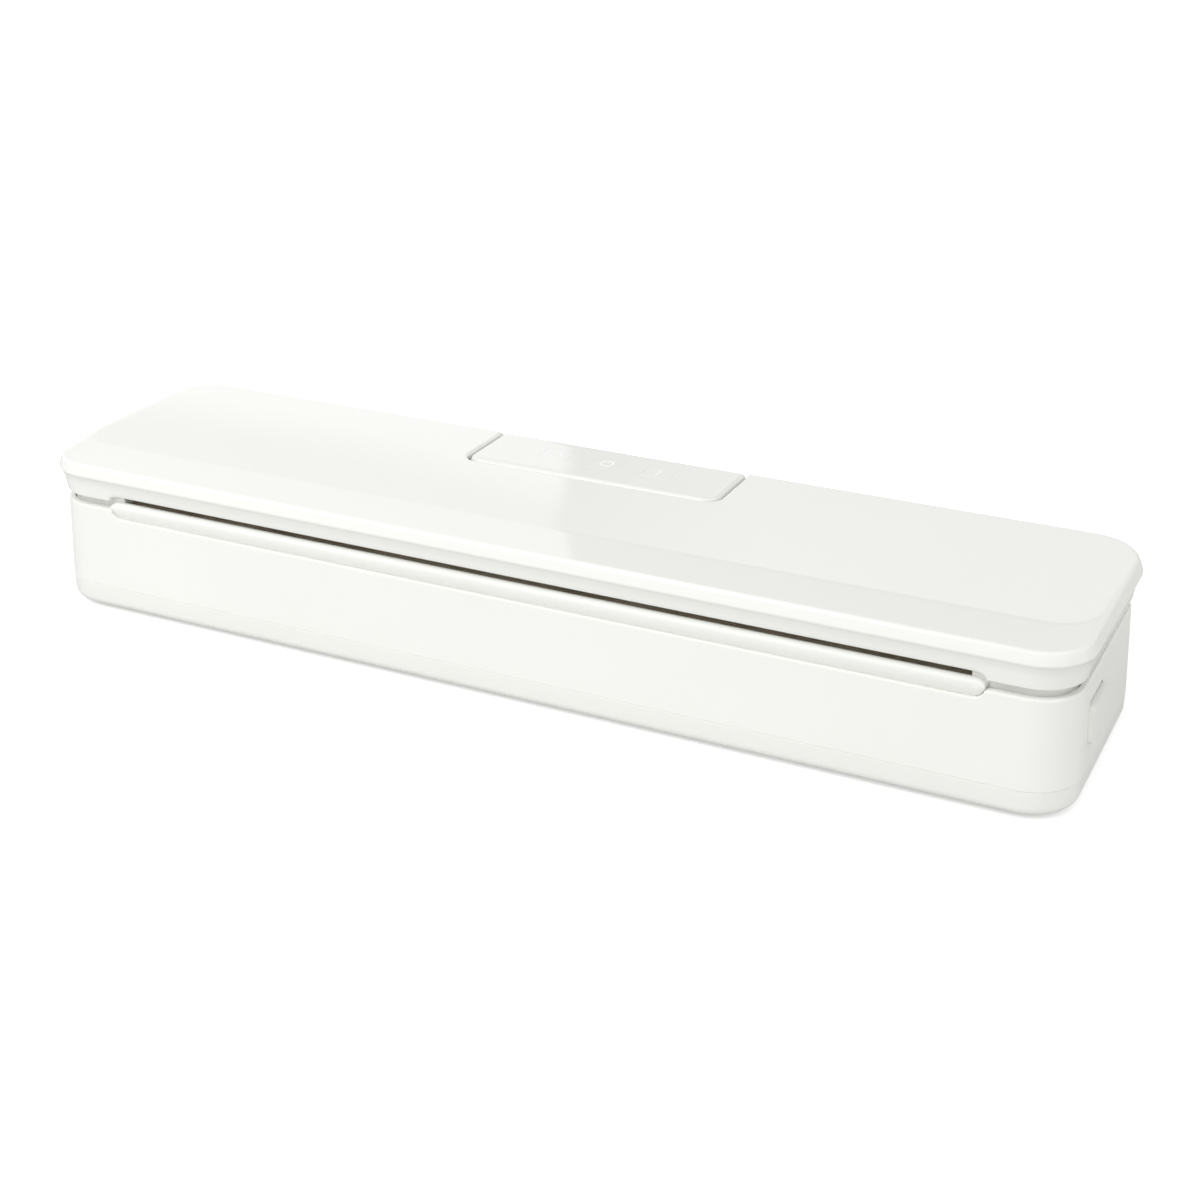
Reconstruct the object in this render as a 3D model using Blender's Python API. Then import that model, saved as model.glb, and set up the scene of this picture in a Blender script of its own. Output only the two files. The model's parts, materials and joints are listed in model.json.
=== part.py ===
"""A slim household vacuum bag sealer, built from its separate pieces.

Metres, +Z up. The origin is on the floor under the middle of the body, +X is to the right of
someone facing the bag slot, and +Y points to the back.
"""

import math

import bmesh
import bpy
from mathutils import Matrix, Vector

# Lid outline
LID_WIDTH = 0.390
LID_DEPTH = 0.098
LID_CORNER = 0.018
SLAB_INSET = 0.0015
TOP_SIDE_INSET = 0.0032
TOP_BACK_INSET = 0.0024
TOP_CORNER = 0.014
FACET_RUN = 0.0193

# Heights, from the floor up
FOOT_PROUD = 0.0015
PAN_HEIGHT = 0.0090
SHELL_HEIGHT = 0.0321
SHADOW_GAP = 0.0025
SKIRT_HEIGHT = 0.0087
SLAB_EDGE = 0.0041
BEVEL_RISE = 0.0018

# Walls, steps and gaps
CLEARANCE = 0.0003
WALL = 0.0022
LID_WALL = 0.0020
LID_ROOF = 0.0018
OVERHANG = 0.0024
FLARE = 0.0015
PAN_ROUND = 0.0035
SKIRT_LEAN = 0.0010
UNDERCUT_DROP = 0.0014
TONGUE_WALL = 0.0015
TONGUE_RISE = 0.0016
TONGUE_GAP = 0.0005

# Bag mouth at the front
MOUTH_END = 0.0295
MOUTH_DROP = 0.0046
LID_MOUTH_SETBACK = 0.0025
LID_MOUTH_RUN = 0.0060
LID_MOUTH_LIFT = 0.0021
SLOT_SETBACK = 0.0045
TONGUE_SETBACK = 0.0053
SLOT_END_DEPTH = 0.0070
LIP_PROUD = 0.0003
LIP_RISE = 0.0020
LIP_TUCK = 0.0014
LIP_ROOT = math.radians(20)
LIP_DEPTH = 0.0030

# Sealing line
SEAL_SETBACK = 0.0064
SEAL_END_GAP = 0.0030
SEAL_BAR_WIDTH = 0.0080
SEAL_BAR_SUNK = 0.0030
SEAL_BAR_PROUD = 0.0010
STRIP_END_GAP = 0.0040
STRIP_WIDTH = 0.0050
STRIP_THICKNESS = 0.0003
TAPE_END_GAP = 0.0010
TAPE_THICKNESS = 0.00025
TAPE_SPREAD = 0.0030
PRESSURE_STRIP_SUNK = 0.0012

# Vacuum chamber
CHAMBER_END_GAP = 0.0040
CHAMBER_DEPTH = 0.0110
CHAMBER_WALL = 0.0018
GASKET_WIDTH = 0.0050
GASKET_SUNK = 0.0011
GASKET_MARGIN = 0.0012
GASKET_CORNER = 0.0080
SEAL_TO_GASKET = 0.0050
PORT_X = 0.060
PORT_RADIUS = 0.0022
PORT_BORE = 0.0012
PORT_LENGTH = 0.0050

# Control pod and keys
POD_HALF = 0.0496
POD_DEPTH = 0.0303
POD_CORNER = 0.0050
POD_BACK_CORNER = 0.0010
POD_LEAST_CORNER = 0.0005
POD_WALL = 0.0020
POD_ROOF = 0.0022
POD_GROOVE = 0.0010
NOTCH_TAPER = 0.0010
POD_POST_RADIUS = 0.0020
POD_POST_INSET = 0.0060
LINER_NOTCH_GAP = 0.0043
KEY_PITCH = 0.0208
KEY_WIDTH = 0.0116
KEY_DEPTH = 0.0108
KEY_CORNER = 0.0012
KEY_BACKSET = 0.0171
KEY_PROUD = 0.0001
KEY_FLANGE = 0.0012
KEY_FLANGE_THICKNESS = 0.0012
KEY_STEM_RADIUS = 0.0020
KEY_STEM_LENGTH = 0.0030
KEY_TRAVEL = 0.0008
SWITCH_SIDE = 0.0060
SWITCH_HEIGHT = 0.0034
BOARD_THICKNESS = 0.0016
CABLE_INSET = 0.0090

# Hinge
HINGE_X = 0.105
HINGE_LENGTH = 0.030
HINGE_INSET = 0.0008
HINGE_BAY_GAP = 0.0015
EAR_LENGTH = 0.0073
KNUCKLE_RADIUS = 0.0030
PIN_RADIUS = 0.0015
LEAF_THICKNESS = 0.0018
LEAF_DEPTH = 0.0114

# Release buttons, catches and hooks
BUTTON_SETBACK = 0.0225
BUTTON_LENGTH = 0.0195
BUTTON_DROP = 0.0097
BUTTON_HEIGHT = 0.0137
BUTTON_CORNER = 0.0022
BUTTON_PROUD = 0.0024
BUTTON_FLANGE = 0.0020
BUTTON_FLANGE_THICKNESS = 0.0032
BUTTON_TRAVEL = 0.0018
CATCH_THICKNESS = 0.0015
CATCH_MARGIN = 0.0035
CATCH_ARM = 0.0030
HOOK_THICKNESS = 0.0025
HOOK_WIDTH = 0.0060
HOOK_REACH = 0.0100
HOOK_GAP = 0.0030
HOOK_SLOT_GAP = 0.0015
HOOK_BASE = 0.0025
HOOK_BASE_THICKNESS = 0.0015
BARB = 0.0025
BARB_HEIGHT = 0.0020
SPRING_LENGTH = 0.0130
SPRING_RADIUS = 0.0030
SPRING_WIRE = 0.0004
SPRING_TURNS = 5
POST_WALL = 0.0022
POST_WIDTH = 0.0100

# Pump
PUMP_START = 0.062
PUMP_RISE = 0.0036
PUMP_SETBACK = 0.0015
MOTOR_LENGTH = 0.042
MOTOR_RADIUS = 0.0135
HEAD_LENGTH = 0.0296
HEAD_BORE = 0.0100
HEAD_BORE_DEPTH = 0.0160
NIPPLE_BACKSET = 0.0066
NIPPLE_DROP = 0.0045
SHAFT_RADIUS = 0.0015
SHAFT_GAP = 0.0007
SHAFT_SOCKET = 0.0060
ECCENTRIC_RADIUS = 0.0085
ECCENTRIC_THICKNESS = 0.0080
CRANK_OFFSET = 0.0040
CRANK_RADIUS = 0.0020
CRANK_LENGTH = 0.0040
SADDLE_INSET = 0.0060
SADDLE_WIDTH = 0.0060
SADDLE_HALF = 0.0108
SADDLE_RISE = 0.0068
HOSE_WALL = 0.0008
HOSE_BEND = 0.0100

# Electrical pieces
TRANSFORMER_LENGTH = 0.040
TRANSFORMER_DEPTH = 0.032
TRANSFORMER_HEIGHT = 0.022
BOARD_END = 0.0450
TRANSFORMER_GAP = 0.010
MAIN_BOARD_LENGTH = 0.105
MAIN_BOARD_DEPTH = 0.050
BOARD_SETBACK = 0.0044
BOARD_STANDOFF = 0.0040
BOARD_POST_INSET = 0.0074
BLOCK_COUNT = 3
BLOCK_PITCH = 0.0260
BLOCK_INSET = 0.0197
BLOCK_SETBACK = 0.0125
BLOCK_SIDE = 0.0130
INLET_END = 0.0450
INLET_RISE = 0.0135
INLET_WIDTH = 0.0196
INLET_HEIGHT = 0.0130
INLET_DEPTH = 0.0160
INLET_FLANGE = 0.0016
INLET_FLANGE_THICKNESS = 0.0008
INLET_RECESS_WIDTH = 0.0152
INLET_RECESS_HEIGHT = 0.0088
INLET_RECESS_DEPTH = 0.0120
INLET_PIN_RADIUS = 0.0012
INLET_PIN_PITCH = 0.0086
INLET_PIN_LENGTH = 0.0095
INLET_TAB = 0.0022
LID_SWITCH_END = 0.0300
LID_SWITCH_BACKSET = 0.0290
LID_SWITCH_WIDTH = 0.0065
LID_SWITCH_DEPTH = 0.0200
LID_SWITCH_HEIGHT = 0.0100
PLUNGER_RISE = 0.0005
PEG_RADIUS = 0.0016
PEG_GAP = 0.0015
LEAD_RADIUS = 0.0013
LEAD_HOLE_GAP = 0.0015
CABLE_HOLE_GAP = 0.0020
LEAD_BEND = 0.0120

# Fasteners and feet
BOSS_RADIUS = 0.0037
BOSS_INSET_X = 0.0190
BOSS_INSET_Y = 0.0150
LID_BOSS_X = 0.070
LID_BOSS_END = 0.0300
LID_BOSS_MARGIN = 0.0012
HINGE_BOSS_DEPTH = 0.0050
SCREW_RADIUS = 0.0015
SCREW_HEAD_RADIUS = 0.0027
SCREW_HEAD_HEIGHT = 0.0009
PAN_SCREW_LENGTH = 0.0090
LID_SCREW_LENGTH = 0.0070
HINGE_SCREW_LENGTH = 0.0060
LEAF_SCREW_LENGTH = 0.0045
FOOT_RADIUS = 0.0060
FOOT_SUNK = 0.0009
FOOT_INSET_X = 0.0430
FOOT_INSET_Y = 0.0190

# Facets of round shapes
CORNER_STEPS = 7
SMALL_CORNER_STEPS = 3
MOUTH_STEPS = 6
LIP_STEPS = 8
ROUND_SIDES = 20
SMALL_SIDES = 12
LEAD_SIDES = 8
WIRE_SIDES = 6
CURVE_STEPS = 12
TURN_STEPS = 9
SHARP_ANGLE = math.radians(32)

# Levels worked out from the sizes above
PAN_LOW = FOOT_PROUD
PAN_FLOOR = PAN_LOW + WALL
PAN_TOP = PAN_LOW + PAN_HEIGHT
SHELL_LOW = PAN_TOP + CLEARANCE
RIM = SHELL_LOW + SHELL_HEIGHT
SKIRT_LOW = RIM + SHADOW_GAP
SLAB_LOW = SKIRT_LOW + SKIRT_HEIGHT
SLAB_TOP = SLAB_LOW + SLAB_EDGE
TOP = SLAB_TOP + BEVEL_RISE
ABOVE = TOP + WALL
DECK_LOW = RIM - WALL
TONGUE_TOP = SKIRT_LOW + TONGUE_RISE
LINER_LOW = TONGUE_TOP + TONGUE_GAP
LINER_TOP = LINER_LOW + WALL
CEILING = SLAB_TOP - LID_ROOF
GASKET_MEETING = (RIM + LINER_LOW) / 2

# Places worked out from the sizes above
LID_HALF = LID_WIDTH / 2
FRONT = -LID_DEPTH / 2
BACK = LID_DEPTH / 2
BEHIND = BACK + WALL
BASE_FRONT = FRONT + OVERHANG
BASE_BACK = BACK - OVERHANG
WALL_OUT = LID_HALF - OVERHANG
WALL_IN = WALL_OUT - WALL
DECK_INSET = OVERHANG + WALL + CLEARANCE
DECK_HALF = LID_HALF - DECK_INSET
DECK_FRONT = FRONT + DECK_INSET
DECK_BACK = BACK - DECK_INSET
DECK_CORNER = LID_CORNER - DECK_INSET
LINER_INSET = OVERHANG + LID_WALL + CLEARANCE
MOUTH_HALF = LID_HALF - MOUTH_END
LID_MOUTH_HALF = MOUTH_HALF - LID_MOUTH_SETBACK
SLOT_HALF = MOUTH_HALF - SLOT_SETBACK
SEAL_HALF = SLOT_HALF - SEAL_END_GAP
SEAL_FRONT = DECK_FRONT + SEAL_SETBACK
SEAL_BACK = SEAL_FRONT + SEAL_BAR_WIDTH
SEAL_MIDDLE = (SEAL_FRONT + SEAL_BACK) / 2
SEAL_TOP = RIM + SEAL_BAR_PROUD
CHANNEL_FLOOR = RIM - SEAL_BAR_SUNK - CLEARANCE
CHANNEL_LOW = CHANNEL_FLOOR - CHAMBER_WALL
STRIP_HALF = SEAL_HALF - STRIP_END_GAP
STRIP_LOW = SEAL_TOP + CLEARANCE
STRIP_TOP = STRIP_LOW + STRIP_THICKNESS
TAPE_HALF = SLOT_HALF - TAPE_END_GAP
TAPE_TOP = STRIP_TOP + CLEARANCE + TAPE_THICKNESS
POD_FRONT = BASE_BACK - POD_DEPTH
NOTCH_HALF = POD_HALF + POD_GROOVE
LINER_NOTCH = POD_FRONT - LINER_NOTCH_GAP
CHAMBER_HALF = SEAL_HALF - CHAMBER_END_GAP
GASKET_HALF = CHAMBER_HALF + GASKET_MARGIN + GASKET_WIDTH
GASKET_FRONT = SEAL_BACK + SEAL_TO_GASKET
GASKET_BACK = LINER_NOTCH - GASKET_MARGIN
CHAMBER_FRONT = GASKET_FRONT + GASKET_WIDTH + GASKET_MARGIN
CHAMBER_BACK = GASKET_BACK - GASKET_WIDTH - GASKET_MARGIN
CHAMBER_MIDDLE = (CHAMBER_FRONT + CHAMBER_BACK) / 2
CHAMBER_FLOOR = RIM - CHAMBER_DEPTH
CHAMBER_LOW = CHAMBER_FLOOR - CHAMBER_WALL
HINGE_Y = BASE_BACK - HINGE_INSET
HINGE_Z = RIM + SHADOW_GAP / 2
HINGE_BAY = HINGE_LENGTH / 2 + HINGE_BAY_GAP
HINGE_BAY_FRONT = HINGE_Y - KNUCKLE_RADIUS - 2 * CLEARANCE
LEAF_BACK = HINGE_BAY_FRONT - CLEARANCE
LEAF_FRONT = LEAF_BACK - LEAF_DEPTH
LEAF_MIDDLE = (LEAF_FRONT + LEAF_BACK) / 2
BRACKET_LOW = RIM + CLEARANCE
BRACKET_TOP = BRACKET_LOW + LEAF_THICKNESS
LEAF_TOP = LINER_LOW - CLEARANCE
LEAF_LOW = LEAF_TOP - LEAF_THICKNESS
KEY_Y = POD_FRONT + KEY_BACKSET
KEY_FLANGE_TOP = TOP - POD_ROOF - CLEARANCE
KEY_FLANGE_LOW = KEY_FLANGE_TOP - KEY_FLANGE_THICKNESS
KEY_STEM_LOW = KEY_FLANGE_LOW - KEY_STEM_LENGTH
KEY_BOARD_TOP = KEY_STEM_LOW - KEY_TRAVEL - CLEARANCE - SWITCH_HEIGHT
KEY_BOARD_LOW = KEY_BOARD_TOP - BOARD_THICKNESS
CABLE_X = CABLE_INSET - POD_HALF
CABLE_Y = POD_FRONT + POD_DEPTH / 2
BUTTON_Y = FRONT + BUTTON_SETBACK + BUTTON_LENGTH / 2
BUTTON_TOP = RIM - BUTTON_DROP
BUTTON_LOW = BUTTON_TOP - BUTTON_HEIGHT
BUTTON_Z = (BUTTON_LOW + BUTTON_TOP) / 2
FLANGE_OUT = WALL_IN + FLARE * (BUTTON_DROP - BUTTON_FLANGE) / SHELL_HEIGHT - CLEARANCE
FLANGE_IN = FLANGE_OUT - BUTTON_FLANGE_THICKNESS
HOOK_OUT = FLANGE_IN - BUTTON_TRAVEL - HOOK_SLOT_GAP
HOOK_IN = HOOK_OUT - HOOK_THICKNESS
BARB_TIP = HOOK_IN - BARB
HOOK_TIP = DECK_LOW - HOOK_REACH
CATCH_LOW = HOOK_TIP + BARB_HEIGHT + 2 * CLEARANCE
CATCH_TOP = CATCH_LOW + CATCH_THICKNESS
SPRING_IN = FLANGE_IN - CLEARANCE - SPRING_LENGTH
PUMP_Y = CHAMBER_BACK + CHAMBER_WALL + PUMP_SETBACK + MOTOR_RADIUS
PUMP_Z = PAN_FLOOR + PUMP_RISE + MOTOR_RADIUS
MOTOR_END = PUMP_START + MOTOR_LENGTH
HEAD_START = MOTOR_END + CLEARANCE
HEAD_END = HEAD_START + HEAD_LENGTH
NIPPLE_X = HEAD_START + NIPPLE_BACKSET
NIPPLE_Z = PUMP_Z - NIPPLE_DROP
BOARD_FRONT = DECK_FRONT + BOARD_SETBACK
BOARD_BACK = BOARD_FRONT + MAIN_BOARD_DEPTH
BOARD_LEFT = BOARD_END - LID_HALF
BOARD_RIGHT = BOARD_LEFT + MAIN_BOARD_LENGTH
TRANSFORMER_LEFT = BOARD_RIGHT + TRANSFORMER_GAP
BOARD_LOW = PAN_FLOOR + BOARD_STANDOFF
BOARD_TOP = BOARD_LOW + BOARD_THICKNESS
INLET_X = INLET_END - LID_HALF
INLET_Z = PAN_TOP + INLET_RISE
INLET_FOOT = INLET_Z - INLET_HEIGHT / 2 - INLET_FLANGE
INLET_FACE = BASE_BACK + FLARE * (RIM - INLET_FOOT) / SHELL_HEIGHT + CLEARANCE
INLET_OUT = INLET_FACE + INLET_FLANGE_THICKNESS
INLET_IN = INLET_FACE - INLET_DEPTH
INLET_FLOOR = INLET_OUT - INLET_RECESS_DEPTH
LID_SWITCH_X = LID_SWITCH_END - LID_HALF
LID_SWITCH_Y = BACK - LID_SWITCH_BACKSET
LID_SWITCH_TOP = DECK_LOW - CLEARANCE
BOSS_X = LID_HALF - BOSS_INSET_X
BOSS_Y = LID_DEPTH / 2 - BOSS_INSET_Y
FOOT_X = LID_HALF - FOOT_INSET_X
FOOT_Y = LID_DEPTH / 2 - FOOT_INSET_Y
SIDES = (("left", -1), ("right", 1))
ENDS = (("front", -1), ("back", 1))


def look(name, colour, roughness, metallic=0.0):
    """A Principled material."""
    made = bpy.data.materials.new(name)
    made.use_nodes = True
    shader = made.node_tree.nodes["Principled BSDF"]
    shader.inputs["Base Color"].default_value = (*colour, 1.0)
    shader.inputs["Roughness"].default_value = roughness
    shader.inputs["Metallic"].default_value = metallic
    return made


GLOSS_WHITE = look("gloss_white", (0.90, 0.90, 0.87), 0.12)
SATIN_WHITE = look("satin_white", (0.88, 0.88, 0.85), 0.35)
KEY_WHITE = look("key_white", (0.90, 0.90, 0.88), 0.25)
RUBBER = look("rubber", (0.20, 0.20, 0.20), 0.80)
FOAM = look("foam_dark", (0.10, 0.10, 0.10), 0.90)
BLACK = look("black_plastic", (0.05, 0.05, 0.05), 0.50)
TAPE = look("tape_brown", (0.28, 0.19, 0.11), 0.45)
STRIP = look("strip_metal", (0.60, 0.58, 0.55), 0.30, 1.0)
SILICONE = look("silicone_grey", (0.45, 0.45, 0.44), 0.60)
STEEL = look("steel", (0.62, 0.62, 0.63), 0.30, 1.0)
ZINC = look("zinc", (0.50, 0.51, 0.52), 0.40, 1.0)
BOARD = look("board_green", (0.05, 0.22, 0.10), 0.50)
HOSE = look("hose_pale", (0.75, 0.78, 0.78), 0.30)
RED = look("lead_red", (0.55, 0.06, 0.05), 0.50)
DARK = look("lead_black", (0.04, 0.04, 0.04), 0.50)


def solid(name, points, faces, finish):
    """An object from points and faces, with its faces pointing out."""
    mesh = bpy.data.meshes.new(name)
    mesh.from_pydata([tuple(point) for point in points], [], faces)
    shape = bmesh.new()
    shape.from_mesh(mesh)
    bmesh.ops.recalc_face_normals(shape, faces=shape.faces)
    shape.to_mesh(mesh)
    shape.free()
    mesh.materials.append(finish)
    made = bpy.data.objects.new(name, mesh)
    bpy.context.scene.collection.objects.link(made)
    return made


def loft(name, rings, finish, loop=False):
    """A skin over rings of equally many points: capped at both ends, or closed on itself."""
    count = len(rings[0])
    points = [point for ring in rings for point in ring]
    faces = []
    spans = len(rings) if loop else len(rings) - 1
    for low in range(spans):
        high = (low + 1) % len(rings)
        for i in range(count):
            after = (i + 1) % count
            faces.append((low * count + i, low * count + after, high * count + after, high * count + i))
    if not loop:
        faces.append(tuple(range(count)))
        faces.append(tuple(range((len(rings) - 1) * count, len(rings) * count)))
    return solid(name, points, faces, finish)


def prism(name, points, low, high, finish):
    """Points in the XY plane raised from one height to another."""
    return loft(name, [raised(points, low), raised(points, high)], finish)


def box(name, corner, opposite, finish):
    """A block between two opposite corners."""
    low = [min(a, b) for a, b in zip(corner, opposite)]
    high = [max(a, b) for a, b in zip(corner, opposite)]
    base = [(low[0], low[1]), (high[0], low[1]), (high[0], high[1]), (low[0], high[1])]
    return prism(name, base, low[2], high[2], finish)


def bar(name, profile, left, right, finish):
    """A profile in the YZ plane drawn out along X."""
    return loft(name, [[(x, y, z) for y, z in profile] for x in (left, right)], finish)


def rod(name, start, end, radius, finish, sides=ROUND_SIDES):
    """A round bar between two points."""
    ends = (Vector(start), Vector(end))
    heading = (ends[1] - ends[0]).normalized()
    return loft(name, rings_along([(place, heading) for place in ends], radius, sides), finish)


def post(name, place, low, high, radius, finish, sides=SMALL_SIDES):
    """An upright round bar over a place in the XY plane."""
    return rod(name, (*place, low), (*place, high), radius, finish, sides)


def rings_along(path, radius, sides):
    """Round sections along a path of places and headings, without twist."""
    side = path[0][1].orthogonal().normalized()
    angles = [2 * math.pi * i / sides for i in range(sides)]
    rings = []
    for place, heading in path:
        side = (side - heading * side.dot(heading)).normalized()
        other = heading.cross(side)
        rings.append([place + (side * math.cos(a) + other * math.sin(a)) * radius for a in angles])
    return rings


def bent(start, start_bend, end_bend, end):
    """A path of places and headings along a smooth curve with four control points."""
    a, b, c, d = (Vector(point) for point in (start, start_bend, end_bend, end))
    path = []
    for i in range(CURVE_STEPS + 1):
        t = i / CURVE_STEPS
        rest = 1 - t
        place = a * rest ** 3 + b * (3 * t * rest ** 2) + c * (3 * t ** 2 * rest) + d * t ** 3
        slope = (b - a) * rest ** 2 + (c - b) * (2 * t * rest) + (d - c) * t ** 2
        path.append((place, slope.normalized()))
    return path


def lead(name, start, start_bend, end_bend, end, finish):
    """An insulated lead on one smooth curve."""
    path = bent(start, start_bend, end_bend, end)
    return loft(name, rings_along(path, LEAD_RADIUS, LEAD_SIDES), finish)


def combine(target, tool, operation):
    """Joins the tool to the target, or cuts it away, and hides the tool."""
    change = target.modifiers.new(tool.name, "BOOLEAN")
    change.operation = operation
    change.object = tool
    change.solver = "EXACT"
    tool.hide_render = True
    tool.display_type = "WIRE"


def cut(target, tool):
    combine(target, tool, "DIFFERENCE")


def join(target, tool):
    combine(target, tool, "UNION")


def settle():
    """Applies every cut and join, removes the tools and shades round faces smooth."""
    bpy.context.view_layer.update()
    graph = bpy.context.evaluated_depsgraph_get()
    pieces = [piece for piece in bpy.data.objects if piece.type == "MESH" and not piece.hide_render]
    shapes = [bpy.data.meshes.new_from_object(piece.evaluated_get(graph)) for piece in pieces]
    for piece, shape in zip(pieces, shapes):
        piece.modifiers.clear()
        piece.data = shape
        shape.shade_smooth()
        shape.set_sharp_from_angle(angle=SHARP_ANGLE)
    for tool in [piece for piece in bpy.data.objects if piece.hide_render]:
        bpy.data.objects.remove(tool)


def centre_on(piece, place):
    """Moves a finished piece's origin to a place, leaving its shape where it is."""
    piece.data.transform(Matrix.Translation(-Vector(place)))
    piece.location = place


def hang_on(pieces, pivot):
    """Parents pieces to an empty on their joint's axis, leaving them in place."""
    for piece in pieces:
        piece.parent = pivot
        piece.matrix_parent_inverse = Matrix.Translation(-pivot.location)


def arc(centre, radius, start, end, steps):
    """Points of a circle's arc between two angles in degrees."""
    points = []
    for i in range(steps + 1):
        angle = math.radians(start + (end - start) * i / steps)
        points.append((centre[0] + radius * math.cos(angle), centre[1] + radius * math.sin(angle)))
    return points


def outline(half, front, back, front_radius, back_radius, stops=(), steps=CORNER_STEPS):
    """A rectangle with round corners, anticlockwise from its front edge, where stops add points."""
    points = [(x, front) for x in stops]
    points += arc((half - front_radius, front + front_radius), front_radius, 270, 360, steps)
    points += arc((half - back_radius, back - back_radius), back_radius, 0, 90, steps)
    points += arc((back_radius - half, back - back_radius), back_radius, 90, 180, steps)
    points += arc((front_radius - half, front + front_radius), front_radius, 180, 270, steps)
    return points


def small_outline(half, front, back, radius):
    """A rectangle with small round corners."""
    return outline(half, front, back, radius, radius, steps=SMALL_CORNER_STEPS)


def inset_outline(inset, stops=()):
    """The lid's widest outline, drawn in by a distance all round."""
    radius = LID_CORNER - inset
    return outline(LID_HALF - inset, FRONT + inset, BACK - inset, radius, radius, stops)


def raised(points, height):
    """Points in the XY plane set at a height, or at a height worked out for each."""
    if callable(height):
        return [(x, y, height(x, y)) for x, y in points]
    return [(x, y, height) for x, y in points]


def both_ends(places):
    """Places along X on both halves, from left to right."""
    return [-x for x in reversed(places)] + list(places)


def base_mouth_stops():
    """Where the base's mouth needs points: round its two quarter-circle ends."""
    angles = [math.pi / 2 * i / MOUTH_STEPS for i in range(MOUTH_STEPS + 1)]
    return both_ends([MOUTH_HALF - MOUTH_DROP + MOUTH_DROP * math.sin(angle) for angle in angles])


def rim_height(x, y):
    """Height of the base's upper edge: it drops to a round-ended mouth at the front."""
    along = abs(x) - (MOUTH_HALF - MOUTH_DROP)
    if y > 0 or along >= MOUTH_DROP:
        return RIM
    return RIM - math.sqrt(MOUTH_DROP ** 2 - max(along, 0.0) ** 2)


def lid_mouth_stops():
    """Where the lid's mouth needs points: along its two eased ends."""
    start = LID_MOUTH_HALF - LID_MOUTH_RUN / 2
    return both_ends([start + LID_MOUTH_RUN * i / MOUTH_STEPS for i in range(MOUTH_STEPS + 1)])


def skirt_height(x, y):
    """Height of the lid's lower edge: it lifts over the mouth at the front."""
    share = (LID_MOUTH_HALF + LID_MOUTH_RUN / 2 - abs(x)) / LID_MOUTH_RUN
    if y > 0 or share <= 0:
        return SKIRT_LOW
    return SKIRT_LOW + LID_MOUTH_LIFT * (1 - math.cos(math.pi * min(share, 1.0))) / 2


def frame_ring(name, half, front, back, radius, width, low, high, finish):
    """A round-cornered rectangular ring of one width."""
    outer = outline(half, front, back, radius, radius)
    inner = outline(half - width, front + width, back - width, radius - width, radius - width)
    rings = [raised(outer, low), raised(outer, high), raised(inner, high), raised(inner, low)]
    return loft(name, rings, finish, loop=True)


def screw(name, place, face, way, length):
    """A screw whose head's outer face is at a height, and whose shank runs up (1) or down (-1)."""
    made = post(name, place, face, face + way * SCREW_HEAD_HEIGHT, SCREW_HEAD_RADIUS, STEEL)
    start = face + way * CLEARANCE
    join(made, post(name + "_shank", place, start, face + way * length, SCREW_RADIUS, STEEL))
    return made


def screw_hole(target, place, face, way, length):
    """The hole and head recess for a screw, where the head's outer face is at a height."""
    start = face - way * WALL
    end = face + way * (length + CLEARANCE)
    cut(target, post("screw_hole", place, start, end, SCREW_RADIUS + CLEARANCE, STEEL))
    sink = face + way * (SCREW_HEAD_HEIGHT + CLEARANCE)
    cut(target, post("screw_sink", place, start, sink, SCREW_HEAD_RADIUS + CLEARANCE, STEEL))


def base_bosses():
    """Named places of the screws that hold the pan to the deck."""
    return {
        f"pan_screw_{side}_{end}": (across * BOSS_X, along * BOSS_Y)
        for side, across in SIDES
        for end, along in ENDS
    }


def feet():
    """Named places of the rubber feet."""
    return {
        f"foot_{side}_{end}": (across * FOOT_X, along * FOOT_Y)
        for side, across in SIDES
        for end, along in ENDS
    }


def lid_bosses():
    """Named places of the screws that hold the liner in the lid."""
    front = SEAL_BACK + SEAL_TO_GASKET / 2
    back = LINER_NOTCH + LID_BOSS_MARGIN + BOSS_RADIUS
    places = {}
    for side, across in SIDES:
        places[f"lid_screw_{side}_front"] = (across * (LID_HALF - LID_BOSS_END), front)
        places[f"lid_screw_{side}_back"] = (across * LID_BOSS_X, back)
    return places


def board_posts():
    """Places of the main board's four standing posts."""
    across = (BOARD_LEFT + BOARD_POST_INSET, BOARD_RIGHT - BOARD_POST_INSET)
    along = (BOARD_FRONT + BOARD_POST_INSET, BOARD_BACK - BOARD_POST_INSET)
    return [(x, y) for x in across for y in along]


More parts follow.
